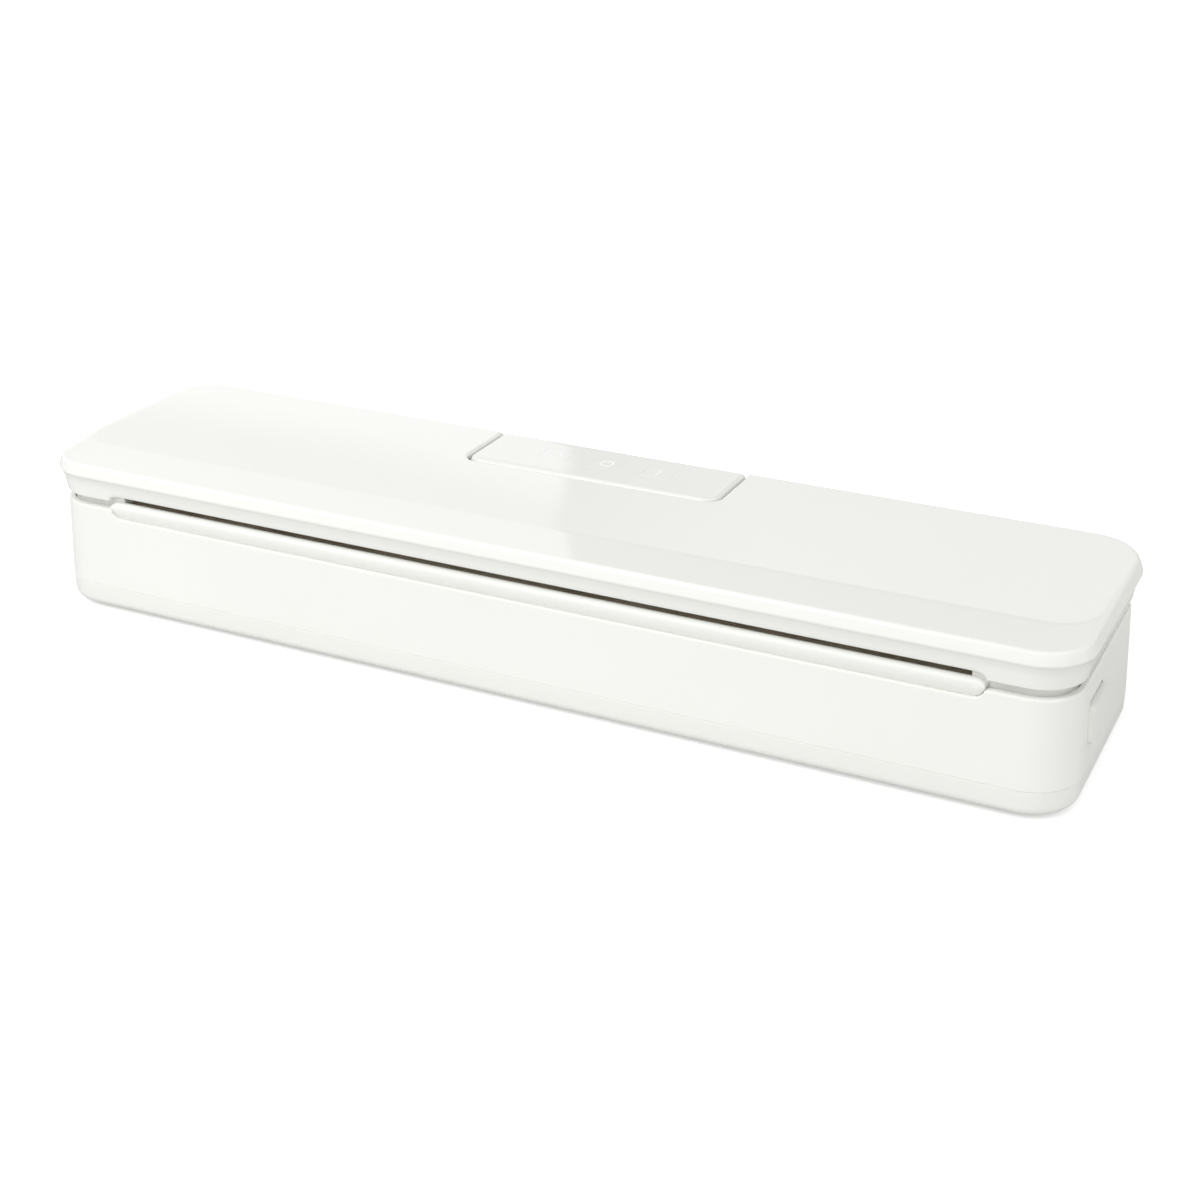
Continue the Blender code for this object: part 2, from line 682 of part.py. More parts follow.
def build_pan():
    """The bottom pan: the tray that carries the pump, boards and feet."""
    inset = OVERHANG - FLARE
    eased = PAN_ROUND * (1 - math.sqrt(0.5))
    rings = [
        raised(inset_outline(inset + PAN_ROUND), PAN_LOW),
        raised(inset_outline(inset + eased), PAN_LOW + eased),
        raised(inset_outline(inset), PAN_LOW + PAN_ROUND),
        raised(inset_outline(inset), PAN_TOP),
        raised(inset_outline(inset + WALL), PAN_TOP),
        raised(inset_outline(inset + WALL), PAN_FLOOR),
    ]
    pan = loft("bottom_pan", rings, SATIN_WHITE)
    root = PAN_FLOOR - WALL / 2
    for side, across in SIDES:
        outer = SPRING_IN - CLEARANCE
        spring_post = box(
            f"spring_post_{side}",
            (across * (outer - POST_WALL), BUTTON_Y - POST_WIDTH / 2, root),
            (across * outer, BUTTON_Y + POST_WIDTH / 2, BUTTON_Z + SPRING_RADIUS),
            SATIN_WHITE,
        )
        join(pan, spring_post)
    for left in (PUMP_START + SADDLE_INSET, MOTOR_END - SADDLE_INSET - SADDLE_WIDTH):
        saddle = box(
            "saddle",
            (left, PUMP_Y - SADDLE_HALF, root),
            (left + SADDLE_WIDTH, PUMP_Y + SADDLE_HALF, PAN_FLOOR + PUMP_RISE + SADDLE_RISE),
            SATIN_WHITE,
        )
        join(pan, saddle)
    cut(pan, on_pump("motor_bed", PUMP_START - WALL, MOTOR_END + WALL, MOTOR_RADIUS + CLEARANCE, ZINC))
    for place in board_posts():
        join(pan, post("board_post", place, root, BOARD_LOW - CLEARANCE, BOSS_RADIUS, SATIN_WHITE))
    for name, place in base_bosses().items():
        screw_hole(pan, place, PAN_LOW, 1, PAN_SCREW_LENGTH)
        screw(name, place, PAN_LOW, 1, PAN_SCREW_LENGTH)
    for name, place in feet().items():
        top = PAN_LOW + FOOT_SUNK
        cut(pan, post("recess", place, 0, top + CLEARANCE, FOOT_RADIUS + CLEARANCE, RUBBER, ROUND_SIDES))
        post(name, place, 0, top, FOOT_RADIUS, RUBBER, ROUND_SIDES)


def build_shell():
    """The base's outer wall, with its mouth, button windows, inlet window and hinge bays."""
    stops = base_mouth_stops()
    rings = [
        raised(inset_outline(OVERHANG - FLARE, stops), SHELL_LOW),
        raised(inset_outline(OVERHANG, stops), rim_height),
        raised(inset_outline(OVERHANG + WALL, stops), rim_height),
        raised(inset_outline(OVERHANG + WALL - FLARE, stops), SHELL_LOW),
    ]
    shell = loft("base_shell", rings, SATIN_WHITE, loop=True)
    window = button_profile(CLEARANCE)
    for side, across in SIDES:
        ends = (across * FLANGE_IN, across * (LID_HALF + WALL))
        cut(shell, bar(f"button_window_{side}", window, *ends, SATIN_WHITE))
        bay = box(
            f"hinge_bay_{side}",
            (across * HINGE_X - HINGE_BAY, HINGE_BAY_FRONT, HINGE_Z - KNUCKLE_RADIUS - 2 * CLEARANCE),
            (across * HINGE_X + HINGE_BAY, BEHIND, ABOVE),
            SATIN_WHITE,
        )
        cut(shell, bay)
    inlet_window = box(
        "inlet_window",
        (INLET_X - INLET_WIDTH / 2 - CLEARANCE, INLET_IN, INLET_Z - INLET_HEIGHT / 2 - CLEARANCE),
        (INLET_X + INLET_WIDTH / 2 + CLEARANCE, BEHIND, INLET_Z + INLET_HEIGHT / 2 + CLEARANCE),
        SATIN_WHITE,
    )
    cut(shell, inlet_window)


def button_profile(margin):
    """The release button's outline in the YZ plane, grown by a margin."""
    radius = BUTTON_CORNER + margin
    half = BUTTON_LENGTH / 2 + margin
    points = small_outline(half, BUTTON_LOW - margin, BUTTON_TOP + margin, radius)
    return [(BUTTON_Y + y, z) for y, z in points]


def lip_profile(share):
    """The rounded lip in the YZ plane, from its foot up its front and over its crest to its root.

    share is how much of its full height it has at one place.
    """
    front = BASE_FRONT - LIP_PROUD
    foot = share * (MOUTH_DROP - CLEARANCE)
    crest = share * LIP_RISE
    points = [(front + LIP_RISE, RIM - foot)]
    for i in range(LIP_STEPS):
        below = 1 - i / LIP_STEPS
        points.append((front + LIP_TUCK * below ** 2, RIM - foot * below))
    for i in range(2 * LIP_STEPS + 1):
        angle = math.pi - (math.pi + LIP_ROOT) * i / (2 * LIP_STEPS)
        points.append((front + LIP_RISE * (1 + math.cos(angle)), RIM + crest * math.sin(angle)))
    return points


def build_lip():
    """The rounded lip that the bag rests on, with round ends."""
    run = MOUTH_DROP - CLEARANCE
    half = MOUTH_HALF - CLEARANCE
    steps = [math.pi / 2 * i / MOUTH_STEPS for i in range(MOUTH_STEPS)]
    rings = []
    for x in both_ends([half - run + run * math.sin(angle) for angle in steps]):
        along = max(abs(x) - (half - run), 0.0)
        rings.append([(x, y, z) for y, z in lip_profile(math.sqrt(1 - (along / run) ** 2))])
    return loft("deck_lip", rings, SATIN_WHITE)


def build_deck():
    """The inner deck: the bag's lip, the seal channel and the vacuum chamber's tub."""
    plate = outline(DECK_HALF, DECK_FRONT, DECK_BACK, DECK_CORNER, DECK_CORNER)
    deck = prism("top_deck", plate, DECK_LOW, RIM, SATIN_WHITE)
    shape = (DECK_HALF, DECK_FRONT, DECK_BACK, DECK_CORNER, TONGUE_WALL)
    tongue = frame_ring("tongue", *shape, DECK_LOW + CLEARANCE, TONGUE_TOP, SATIN_WHITE)
    gap_half = MOUTH_HALF - TONGUE_SETBACK
    gap_end = (gap_half, DECK_FRONT + LIP_DEPTH, ABOVE)
    cut(tongue, box("slot_gap", (-gap_half, FRONT, RIM), gap_end, SATIN_WHITE))
    pod_end = (NOTCH_HALF, BEHIND, ABOVE)
    cut(tongue, box("pod_gap", (-NOTCH_HALF, DECK_BACK - LIP_DEPTH, RIM), pod_end, SATIN_WHITE))
    for _, across in SIDES:
        rib_start = (across * gap_half, DECK_FRONT + TONGUE_WALL / 2, DECK_LOW + CLEARANCE)
        rib_end = (across * (gap_half + TONGUE_WALL), DECK_FRONT + SLOT_END_DEPTH, TONGUE_TOP - CLEARANCE)
        join(tongue, box("slot_end", rib_start, rib_end, SATIN_WHITE))
    join(deck, tongue)
    join(deck, build_lip())
    root = RIM - WALL / 2
    tub = box(
        "chamber_tub",
        (-CHAMBER_HALF - CHAMBER_WALL, CHAMBER_FRONT - CHAMBER_WALL, CHAMBER_LOW),
        (CHAMBER_HALF + CHAMBER_WALL, CHAMBER_BACK + CHAMBER_WALL, root),
        SATIN_WHITE,
    )
    join(deck, tub)
    side_wall = CLEARANCE + CHAMBER_WALL
    tray = box(
        "channel_tray",
        (-SEAL_HALF - side_wall, SEAL_FRONT - side_wall, CHANNEL_LOW),
        (SEAL_HALF + side_wall, SEAL_BACK + side_wall, root),
        SATIN_WHITE,
    )
    join(deck, tray)
    port = (PORT_X, CHAMBER_MIDDLE)
    port_root = CHAMBER_FLOOR - CLEARANCE
    join(deck, post("port", port, CHAMBER_LOW - PORT_LENGTH, port_root, PORT_RADIUS, SATIN_WHITE))
    for place in base_bosses().values():
        join(deck, post("deck_boss", place, PAN_FLOOR + CLEARANCE, root, BOSS_RADIUS, SATIN_WHITE))
        screw_hole(deck, place, PAN_LOW, 1, PAN_SCREW_LENGTH)
    for _, across in SIDES:
        place = (across * HINGE_X, LEAF_MIDDLE)
        join(deck, post("hinge_boss", place, DECK_LOW - HINGE_BOSS_DEPTH, root, BOSS_RADIUS, SATIN_WHITE))
        hole_low = BRACKET_TOP - HINGE_SCREW_LENGTH - CLEARANCE
        cut(deck, post("hinge_pilot", place, hole_low, ABOVE, SCREW_RADIUS + CLEARANCE, STEEL))
    cut_deck(deck)


def cut_deck(deck):
    """The deck's openings: chamber, seal channel, gasket groove, hook slots, bays and holes."""
    chamber_low = (-CHAMBER_HALF, CHAMBER_FRONT, CHAMBER_FLOOR)
    cut(deck, box("chamber_cut", chamber_low, (CHAMBER_HALF, CHAMBER_BACK, ABOVE), SATIN_WHITE))
    channel_low = (-SEAL_HALF - CLEARANCE, SEAL_FRONT - CLEARANCE, CHANNEL_FLOOR)
    channel_high = (SEAL_HALF + CLEARANCE, SEAL_BACK + CLEARANCE, ABOVE)
    cut(deck, box("channel_cut", channel_low, channel_high, SATIN_WHITE))
    cut(deck, gasket_groove(RIM - GASKET_SUNK - CLEARANCE, ABOVE))
    port = (PORT_X, CHAMBER_MIDDLE)
    cut(deck, post("port_bore", port, PAN_FLOOR, RIM, PORT_BORE, SATIN_WHITE))
    half = HOOK_WIDTH / 2 + HOOK_GAP
    below = DECK_LOW - WALL
    for side, across in SIDES:
        slot = box(
            f"hook_slot_{side}",
            (across * (BARB_TIP - HOOK_SLOT_GAP), BUTTON_Y - half, below),
            (across * (HOOK_OUT + HOOK_SLOT_GAP), BUTTON_Y + half, ABOVE),
            SATIN_WHITE,
        )
        cut(deck, slot)
        bay = box(
            f"deck_bay_{side}",
            (across * HINGE_X - HINGE_BAY, HINGE_BAY_FRONT, below),
            (across * HINGE_X + HINGE_BAY, BEHIND, ABOVE),
            SATIN_WHITE,
        )
        cut(deck, bay)
        lead_hole = (across * STRIP_HALF, SEAL_MIDDLE)
        cut(deck, post("lead_hole", lead_hole, PAN_FLOOR, RIM, LEAD_RADIUS + LEAD_HOLE_GAP, SATIN_WHITE))
    peg = (LID_SWITCH_X, LID_SWITCH_Y)
    cut(deck, post("peg_hole", peg, below, ABOVE, PEG_RADIUS + PEG_GAP, SATIN_WHITE))
    cable = (CABLE_X, CABLE_Y)
    cut(deck, post("cable_hole", cable, below, ABOVE, LEAD_RADIUS + CABLE_HOLE_GAP, SATIN_WHITE))


def gasket_groove(low, high):
    """The cutter for the groove that a gasket sits in."""
    half = GASKET_HALF + CLEARANCE
    front = GASKET_FRONT - CLEARANCE
    back = GASKET_BACK + CLEARANCE
    corner = GASKET_CORNER + CLEARANCE
    width = GASKET_WIDTH + 2 * CLEARANCE
    return frame_ring("gasket_groove", half, front, back, corner, width, low, high, FOAM)


def build_seal():
    """The sealing line: bar, heating strip and the tape stretched over them."""
    bar_low = (-SEAL_HALF, SEAL_FRONT, RIM - SEAL_BAR_SUNK)
    box("seal_bar", bar_low, (SEAL_HALF, SEAL_BACK, SEAL_TOP), BLACK)
    strip_low = (-STRIP_HALF, SEAL_MIDDLE - STRIP_WIDTH / 2, STRIP_LOW)
    box("heater_strip", strip_low, (STRIP_HALF, SEAL_MIDDLE + STRIP_WIDTH / 2, STRIP_TOP), STRIP)
    low = RIM + CLEARANCE
    high = TAPE_TOP - TAPE_THICKNESS
    near = SEAL_FRONT - CLEARANCE
    far = SEAL_BACK + CLEARANCE
    under = [
        (near - TAPE_SPREAD, low),
        (near, low),
        (near, high),
        (far, high),
        (far, low),
        (far + TAPE_SPREAD, low),
    ]
    step = TAPE_THICKNESS
    over = [
        (far + TAPE_SPREAD, low + step),
        (far + step, low + step),
        (far + step, high + step),
        (near - step, high + step),
        (near - step, low + step),
        (near - TAPE_SPREAD, low + step),
    ]
    bar("seal_tape", under + over, -TAPE_HALF, TAPE_HALF, TAPE)


def build_gaskets():
    """The two foam rings that close the vacuum chamber, one below and one in the lid."""
    shape = (GASKET_HALF, GASKET_FRONT, GASKET_BACK, GASKET_CORNER, GASKET_WIDTH)
    meeting_low = GASKET_MEETING - CLEARANCE / 2
    meeting_high = GASKET_MEETING + CLEARANCE / 2
    frame_ring("lower_gasket", *shape, RIM - GASKET_SUNK, meeting_low, FOAM)
    return frame_ring("upper_gasket", *shape, meeting_high, LINER_LOW + GASKET_SUNK, FOAM)


def key_places():
    """Named places of the three keys along X."""
    return {"key_left": -KEY_PITCH, "key_middle": 0.0, "key_right": KEY_PITCH}


def key_outline(x, margin):
    """A key's round-cornered outline in the XY plane, grown by a margin."""
    radius = KEY_CORNER + margin
    half = KEY_DEPTH / 2 + margin
    points = small_outline(KEY_WIDTH / 2 + margin, KEY_Y - half, KEY_Y + half, radius)
    return [(x + across, along) for across, along in points]


def pod_outline(inset):
    """The control pod's outline, drawn in by a distance all round."""
    back_corner = max(POD_BACK_CORNER - inset, POD_LEAST_CORNER)
    corners = (POD_CORNER - inset, back_corner)
    half = POD_HALF - inset
    return outline(half, POD_FRONT + inset, BASE_BACK - inset, *corners, steps=SMALL_CORNER_STEPS)


def build_pod():
    """The fixed control pod at the back, with windows for its three keys and posts for its board."""
    pod = prism("control_pod", pod_outline(0.0), BRACKET_LOW, TOP, GLOSS_WHITE)
    cut(pod, prism("pod_hollow", pod_outline(POD_WALL), DECK_LOW, TOP - POD_ROOF, GLOSS_WHITE))
    for x in key_places().values():
        cut(pod, prism("key_window", key_outline(x, CLEARANCE), KEY_FLANGE_LOW, ABOVE, GLOSS_WHITE))
    top = TOP - POD_ROOF / 2
    low = KEY_BOARD_TOP + CLEARANCE
    for _, across in SIDES:
        x = across * (POD_HALF - POD_POST_INSET)
        for y in (POD_FRONT + POD_POST_INSET, BASE_BACK - POD_POST_INSET):
            join(pod, post("pod_post", (x, y), low, top, POD_POST_RADIUS, GLOSS_WHITE))
    board = prism("key_board", pod_outline(POD_WALL + CLEARANCE), KEY_BOARD_LOW, KEY_BOARD_TOP, BOARD)
    half = SWITCH_SIDE / 2
    for x in key_places().values():
        switch_low = (x - half, KEY_Y - half, KEY_BOARD_LOW + CLEARANCE)
        switch_high = (x + half, KEY_Y + half, KEY_BOARD_TOP + SWITCH_HEIGHT)
        join(board, box("key_switch", switch_low, switch_high, BOARD))


def build_keys():
    """Three keys, each with a retaining flange under the pod's roof and a stem over its switch."""
    keys = []
    for name, x in key_places().items():
        key = prism(name, key_outline(x, 0.0), KEY_FLANGE_LOW, TOP + KEY_PROUD, KEY_WHITE)
        wide = key_outline(x, KEY_FLANGE)
        join(key, prism(name + "_flange", wide, KEY_FLANGE_LOW, KEY_FLANGE_TOP, KEY_WHITE))
        root = KEY_FLANGE_LOW + CLEARANCE
        join(key, post(name + "_stem", (x, KEY_Y), KEY_STEM_LOW, root, KEY_STEM_RADIUS, KEY_WHITE))
        keys.append((key, (x, KEY_Y, TOP)))
    return keys


def on_hinge(name, left, right, radius):
    """A round bar on the hinge axis."""
    return rod(name, (left, HINGE_Y, HINGE_Z), (right, HINGE_Y, HINGE_Z), radius, STEEL)


def build_hinges():
    """Two hinges, each of a fixed bracket, a leaf under the lid's liner, a pin and two screws."""
    moving = []
    for side, across in SIDES:
        middle = across * HINGE_X
        left = middle - HINGE_LENGTH / 2
        right = middle + HINGE_LENGTH / 2
        place = (middle, LEAF_MIDDLE)
        bracket_low = (left, LEAF_FRONT, BRACKET_LOW)
        bracket = box(f"hinge_bracket_{side}", bracket_low, (right, LEAF_BACK, BRACKET_TOP), STEEL)
        for start in (left, right - EAR_LENGTH):
            end = start + EAR_LENGTH
            arm_low = (start, LEAF_BACK - LEAF_THICKNESS, BRACKET_LOW)
            join(bracket, box("ear_arm", arm_low, (end, HINGE_Y, BRACKET_TOP), STEEL))
            join(bracket, on_hinge("ear", start, end, KNUCKLE_RADIUS))
        cut(bracket, on_hinge("bracket_bore", left - WALL, right + WALL, PIN_RADIUS + CLEARANCE))
        screw_hole(bracket, place, BRACKET_TOP, -1, HINGE_SCREW_LENGTH)
        screw(f"hinge_screw_{side}", place, BRACKET_TOP, -1, HINGE_SCREW_LENGTH)
        on_hinge(f"hinge_pin_{side}", left, right, PIN_RADIUS)
        leaf = box(f"hinge_leaf_{side}", (left, LEAF_FRONT, LEAF_LOW), (right, LEAF_BACK, LEAF_TOP), STEEL)
        near = left + EAR_LENGTH + CLEARANCE
        far = right - EAR_LENGTH - CLEARANCE
        arm_low = (near, LEAF_BACK - LEAF_THICKNESS, LEAF_LOW)
        join(leaf, box("leaf_arm", arm_low, (far, HINGE_Y, LEAF_TOP), STEEL))
        join(leaf, on_hinge("knuckle", near, far, KNUCKLE_RADIUS))
        cut(leaf, on_hinge("leaf_bore", near - WALL, far + WALL, PIN_RADIUS + CLEARANCE))
        screw_hole(leaf, place, LEAF_LOW, 1, LEAF_SCREW_LENGTH)
        moving.append(leaf)
        moving.append(screw(f"leaf_screw_{side}", place, LEAF_LOW, 1, LEAF_SCREW_LENGTH))
    return moving


def build_release(side, across):
    """One release button with its catch plate; the plate's window surrounds the lid's hook."""
    near = across * FLANGE_IN
    face = across * (WALL_OUT + BUTTON_PROUD)
    button = bar(f"release_button_{side}", button_profile(0.0), near, face, SATIN_WHITE)
    wide = button_profile(BUTTON_FLANGE)
    join(button, bar(f"button_flange_{side}", wide, near, across * FLANGE_OUT, SATIN_WHITE))
    window_half = HOOK_WIDTH / 2 + HOOK_GAP
    plate_half = window_half + CATCH_MARGIN
    window_in = BARB_TIP - CLEARANCE
    window_out = HOOK_OUT + BUTTON_TRAVEL + CLEARANCE
    plate = box(
        f"catch_plate_{side}",
        (across * (window_in - CATCH_MARGIN), BUTTON_Y - plate_half, CATCH_LOW),
        (across * (FLANGE_IN + CATCH_ARM), BUTTON_Y + plate_half, CATCH_TOP),
        SATIN_WHITE,
    )
    window = box(
        f"catch_window_{side}",
        (across * window_in, BUTTON_Y - window_half, CATCH_LOW - WALL),
        (across * window_out, BUTTON_Y + window_half, CATCH_TOP + WALL),
        SATIN_WHITE,
    )
    cut(plate, window)
    join(button, plate)
    arm = box(
        f"catch_arm_{side}",
        (across * (FLANGE_IN + CLEARANCE), BUTTON_Y - window_half, BUTTON_Z),
        (across * (FLANGE_IN + CATCH_ARM - CLEARANCE), BUTTON_Y + window_half, CATCH_TOP - CLEARANCE),
        SATIN_WHITE,
    )
    join(button, arm)
    build_spring(f"release_spring_{side}", across)
    return button, (across * FLANGE_OUT, BUTTON_Y, BUTTON_Z)


def build_spring(name, across):
    """A coil spring between the pan's post and the button's flange."""
    radius = SPRING_RADIUS - SPRING_WIRE
    rise = (SPRING_LENGTH - 2 * SPRING_WIRE) / (SPRING_TURNS * TURN_STEPS)
    turn = 2 * math.pi / TURN_STEPS
    path = []
    for i in range(SPRING_TURNS * TURN_STEPS + 1):
        sine = math.sin(turn * i)
        cosine = math.cos(turn * i)
        x = across * (SPRING_IN + SPRING_WIRE + rise * i)
        place = Vector((x, BUTTON_Y + radius * cosine, BUTTON_Z + radius * sine))
        heading = Vector((across * rise, -radius * turn * sine, radius * turn * cosine))
        path.append((place, heading.normalized()))
    gap = TURN_STEPS * rise - 2 * SPRING_WIRE
    print(f"{name}: gap between turns {gap * 1000:.2f} mm")
    loft(name, rings_along(path, SPRING_WIRE, WIRE_SIDES), STEEL)


def build_hook(side, across):
    """The lid's hook, which reaches down through the deck inside the catch plate's window."""
    half = HOOK_WIDTH / 2
    root = LEAF_TOP - HOOK_BASE_THICKNESS
    hook = box(
        f"latch_hook_{side}",
        (across * (BARB_TIP - HOOK_BASE), BUTTON_Y - half - HOOK_BASE, root),
        (across * (HOOK_OUT + HOOK_BASE), BUTTON_Y + half + HOOK_BASE, LEAF_TOP),
        SATIN_WHITE,
    )
    shank = box(
        f"hook_shank_{side}",
        (across * HOOK_IN, BUTTON_Y - half, HOOK_TIP),
        (across * HOOK_OUT, BUTTON_Y + half, LEAF_TOP - CLEARANCE),
        SATIN_WHITE,
    )
    join(hook, shank)
    barb = box(
        f"hook_barb_{side}",
        (across * BARB_TIP, BUTTON_Y - half, HOOK_TIP),
        (across * (HOOK_IN + CLEARANCE), BUTTON_Y + half, HOOK_TIP + BARB_HEIGHT),
        SATIN_WHITE,
    )
    join(hook, barb)
    return hook


def on_pump(name, left, right, radius, finish):
    """A round bar on the pump's axis."""
    return rod(name, (left, PUMP_Y, PUMP_Z), (right, PUMP_Y, PUMP_Z), radius, finish)


def build_pump():
    """The vacuum pump: motor, head, the eccentric on its shaft, and the hose to the chamber."""
    motor = on_pump("pump_motor", PUMP_START, MOTOR_END, MOTOR_RADIUS, ZINC)
    running = SHAFT_RADIUS + SHAFT_GAP
    cut(motor, on_pump("motor_socket", MOTOR_END - SHAFT_SOCKET, HEAD_END, running, ZINC))
    head = box(
        "pump_head",
        (HEAD_START, PUMP_Y - MOTOR_RADIUS, PUMP_Z - MOTOR_RADIUS),
        (HEAD_END, PUMP_Y + MOTOR_RADIUS, PUMP_Z + MOTOR_RADIUS),
        BLACK,
    )
    nipple_end = (NIPPLE_X, PUMP_Y - MOTOR_RADIUS - PORT_LENGTH, NIPPLE_Z)
    nipple_root = (NIPPLE_X, PUMP_Y - MOTOR_RADIUS + CLEARANCE, NIPPLE_Z)
    join(head, rod("nipple", nipple_root, nipple_end, PORT_RADIUS, BLACK, SMALL_SIDES))
    cavity = HEAD_END - HEAD_BORE_DEPTH
    cut(head, on_pump("head_cavity", cavity, HEAD_END + WALL, HEAD_BORE, BLACK))
    cut(head, on_pump("shaft_bore", PUMP_START, HEAD_END, running, BLACK))
    wheel_start = cavity + SHAFT_GAP
    wheel_end = wheel_start + ECCENTRIC_THICKNESS
    wheel = on_pump("pump_eccentric", wheel_start, wheel_end, ECCENTRIC_RADIUS, ZINC)
    shaft_start = MOTOR_END - SHAFT_SOCKET + SHAFT_GAP
    join(wheel, on_pump("shaft", shaft_start, wheel_start + CLEARANCE, SHAFT_RADIUS, STEEL))
    crank_z = PUMP_Z + CRANK_OFFSET
    crank_start = (wheel_end - CLEARANCE, PUMP_Y, crank_z)
    crank_end = (wheel_end + CRANK_LENGTH, PUMP_Y, crank_z)
    join(wheel, rod("crank", crank_start, crank_end, CRANK_RADIUS, STEEL, SMALL_SIDES))
    build_hose(nipple_end)
    return wheel, (wheel_start, PUMP_Y, PUMP_Z)


def build_hose(nipple_end):
    """The suction hose, which slips over the chamber's port and the pump's nipple."""
    down = Vector((0, 0, -1))
    back = Vector((0, 1, 0))
    start = Vector((PORT_X, CHAMBER_MIDDLE, CHAMBER_LOW - PORT_LENGTH))
    end = Vector(nipple_end)
    slip = PORT_LENGTH - CLEARANCE
    path = [(start - down * slip, down)]
    path += bent(start, start + down * HOSE_BEND, end - back * HOSE_BEND, end)
    path.append((end + back * slip, back))
    bore = PORT_RADIUS + CLEARANCE
    outer = rings_along(path, bore + HOSE_WALL, SMALL_SIDES)
    inner = rings_along(path, bore, SMALL_SIDES)
    loft("suction_hose", outer + inner[::-1], HOSE, loop=True)


def build_electrics():
    """Main board, transformer, lid switch, mains inlet and the leads between them."""
    board_low = (BOARD_LEFT, BOARD_FRONT, BOARD_LOW)
    board = box("main_board", board_low, (BOARD_RIGHT, BOARD_BACK, BOARD_TOP), BOARD)
    for i in range(BLOCK_COUNT):
        left = BOARD_LEFT + BLOCK_INSET + BLOCK_PITCH * i
        front = BOARD_FRONT + BLOCK_SETBACK
        block_high = (left + BLOCK_SIDE, front + BLOCK_SIDE, BOARD_TOP + BLOCK_SIDE)
        join(board, box("board_block", (left, front, BOARD_LOW + CLEARANCE), block_high, BOARD))
    right = TRANSFORMER_LEFT + TRANSFORMER_LENGTH
    box(
        "transformer",
        (TRANSFORMER_LEFT, BOARD_FRONT, PAN_FLOOR + CLEARANCE),
        (right, BOARD_FRONT + TRANSFORMER_DEPTH, PAN_FLOOR + TRANSFORMER_HEIGHT),
        ZINC,
    )
    half = LID_SWITCH_WIDTH / 2
    deep = LID_SWITCH_DEPTH / 2
    switch = box(
        "lid_switch",
        (LID_SWITCH_X - half, LID_SWITCH_Y - deep, LID_SWITCH_TOP - LID_SWITCH_HEIGHT),
        (LID_SWITCH_X + half, LID_SWITCH_Y + deep, LID_SWITCH_TOP),
        BLACK,
    )
    peg = (LID_SWITCH_X, LID_SWITCH_Y)
    root = LID_SWITCH_TOP - CLEARANCE
    join(switch, post("plunger", peg, root, LID_SWITCH_TOP + PLUNGER_RISE, PEG_RADIUS, BLACK))
    build_inlet()
    build_leads()


def build_inlet():
    """A two-pin mains inlet that snaps into the back wall, and its pins."""
    half = INLET_WIDTH / 2
    tall = INLET_HEIGHT / 2
    inlet_low = (INLET_X - half, INLET_IN, INLET_Z - tall)
    inlet = box("mains_inlet", inlet_low, (INLET_X + half, INLET_OUT - CLEARANCE, INLET_Z + tall), BLACK)
    half += INLET_FLANGE
    tall += INLET_FLANGE
    flange_low = (INLET_X - half, INLET_FACE, INLET_Z - tall)
    join(inlet, box("inlet_flange", flange_low, (INLET_X + half, INLET_OUT, INLET_Z + tall), BLACK))
    half = INLET_RECESS_WIDTH / 2
    tall = INLET_RECESS_HEIGHT / 2
    recess_low = (INLET_X - half, INLET_FLOOR, INLET_Z - tall)
    cut(inlet, box("inlet_recess", recess_low, (INLET_X + half, BEHIND, INLET_Z + tall), BLACK))
    for side, across in SIDES:
        x = INLET_X + across * INLET_PIN_PITCH / 2
        start = (x, INLET_IN - INLET_TAB, INLET_Z)
        hole_end = (x, BEHIND, INLET_Z)
        cut(inlet, rod("pin_hole", start, hole_end, INLET_PIN_RADIUS + CLEARANCE, BLACK, SMALL_SIDES))
        end = (x, INLET_FLOOR + INLET_PIN_LENGTH, INLET_Z)
        rod(f"inlet_pin_{side}", start, end, INLET_PIN_RADIUS, STEEL, SMALL_SIDES)


def moved(point, x=0.0, y=0.0, z=0.0):
    """A point moved by distances along the axes."""
    return (point[0] + x, point[1] + y, point[2] + z)


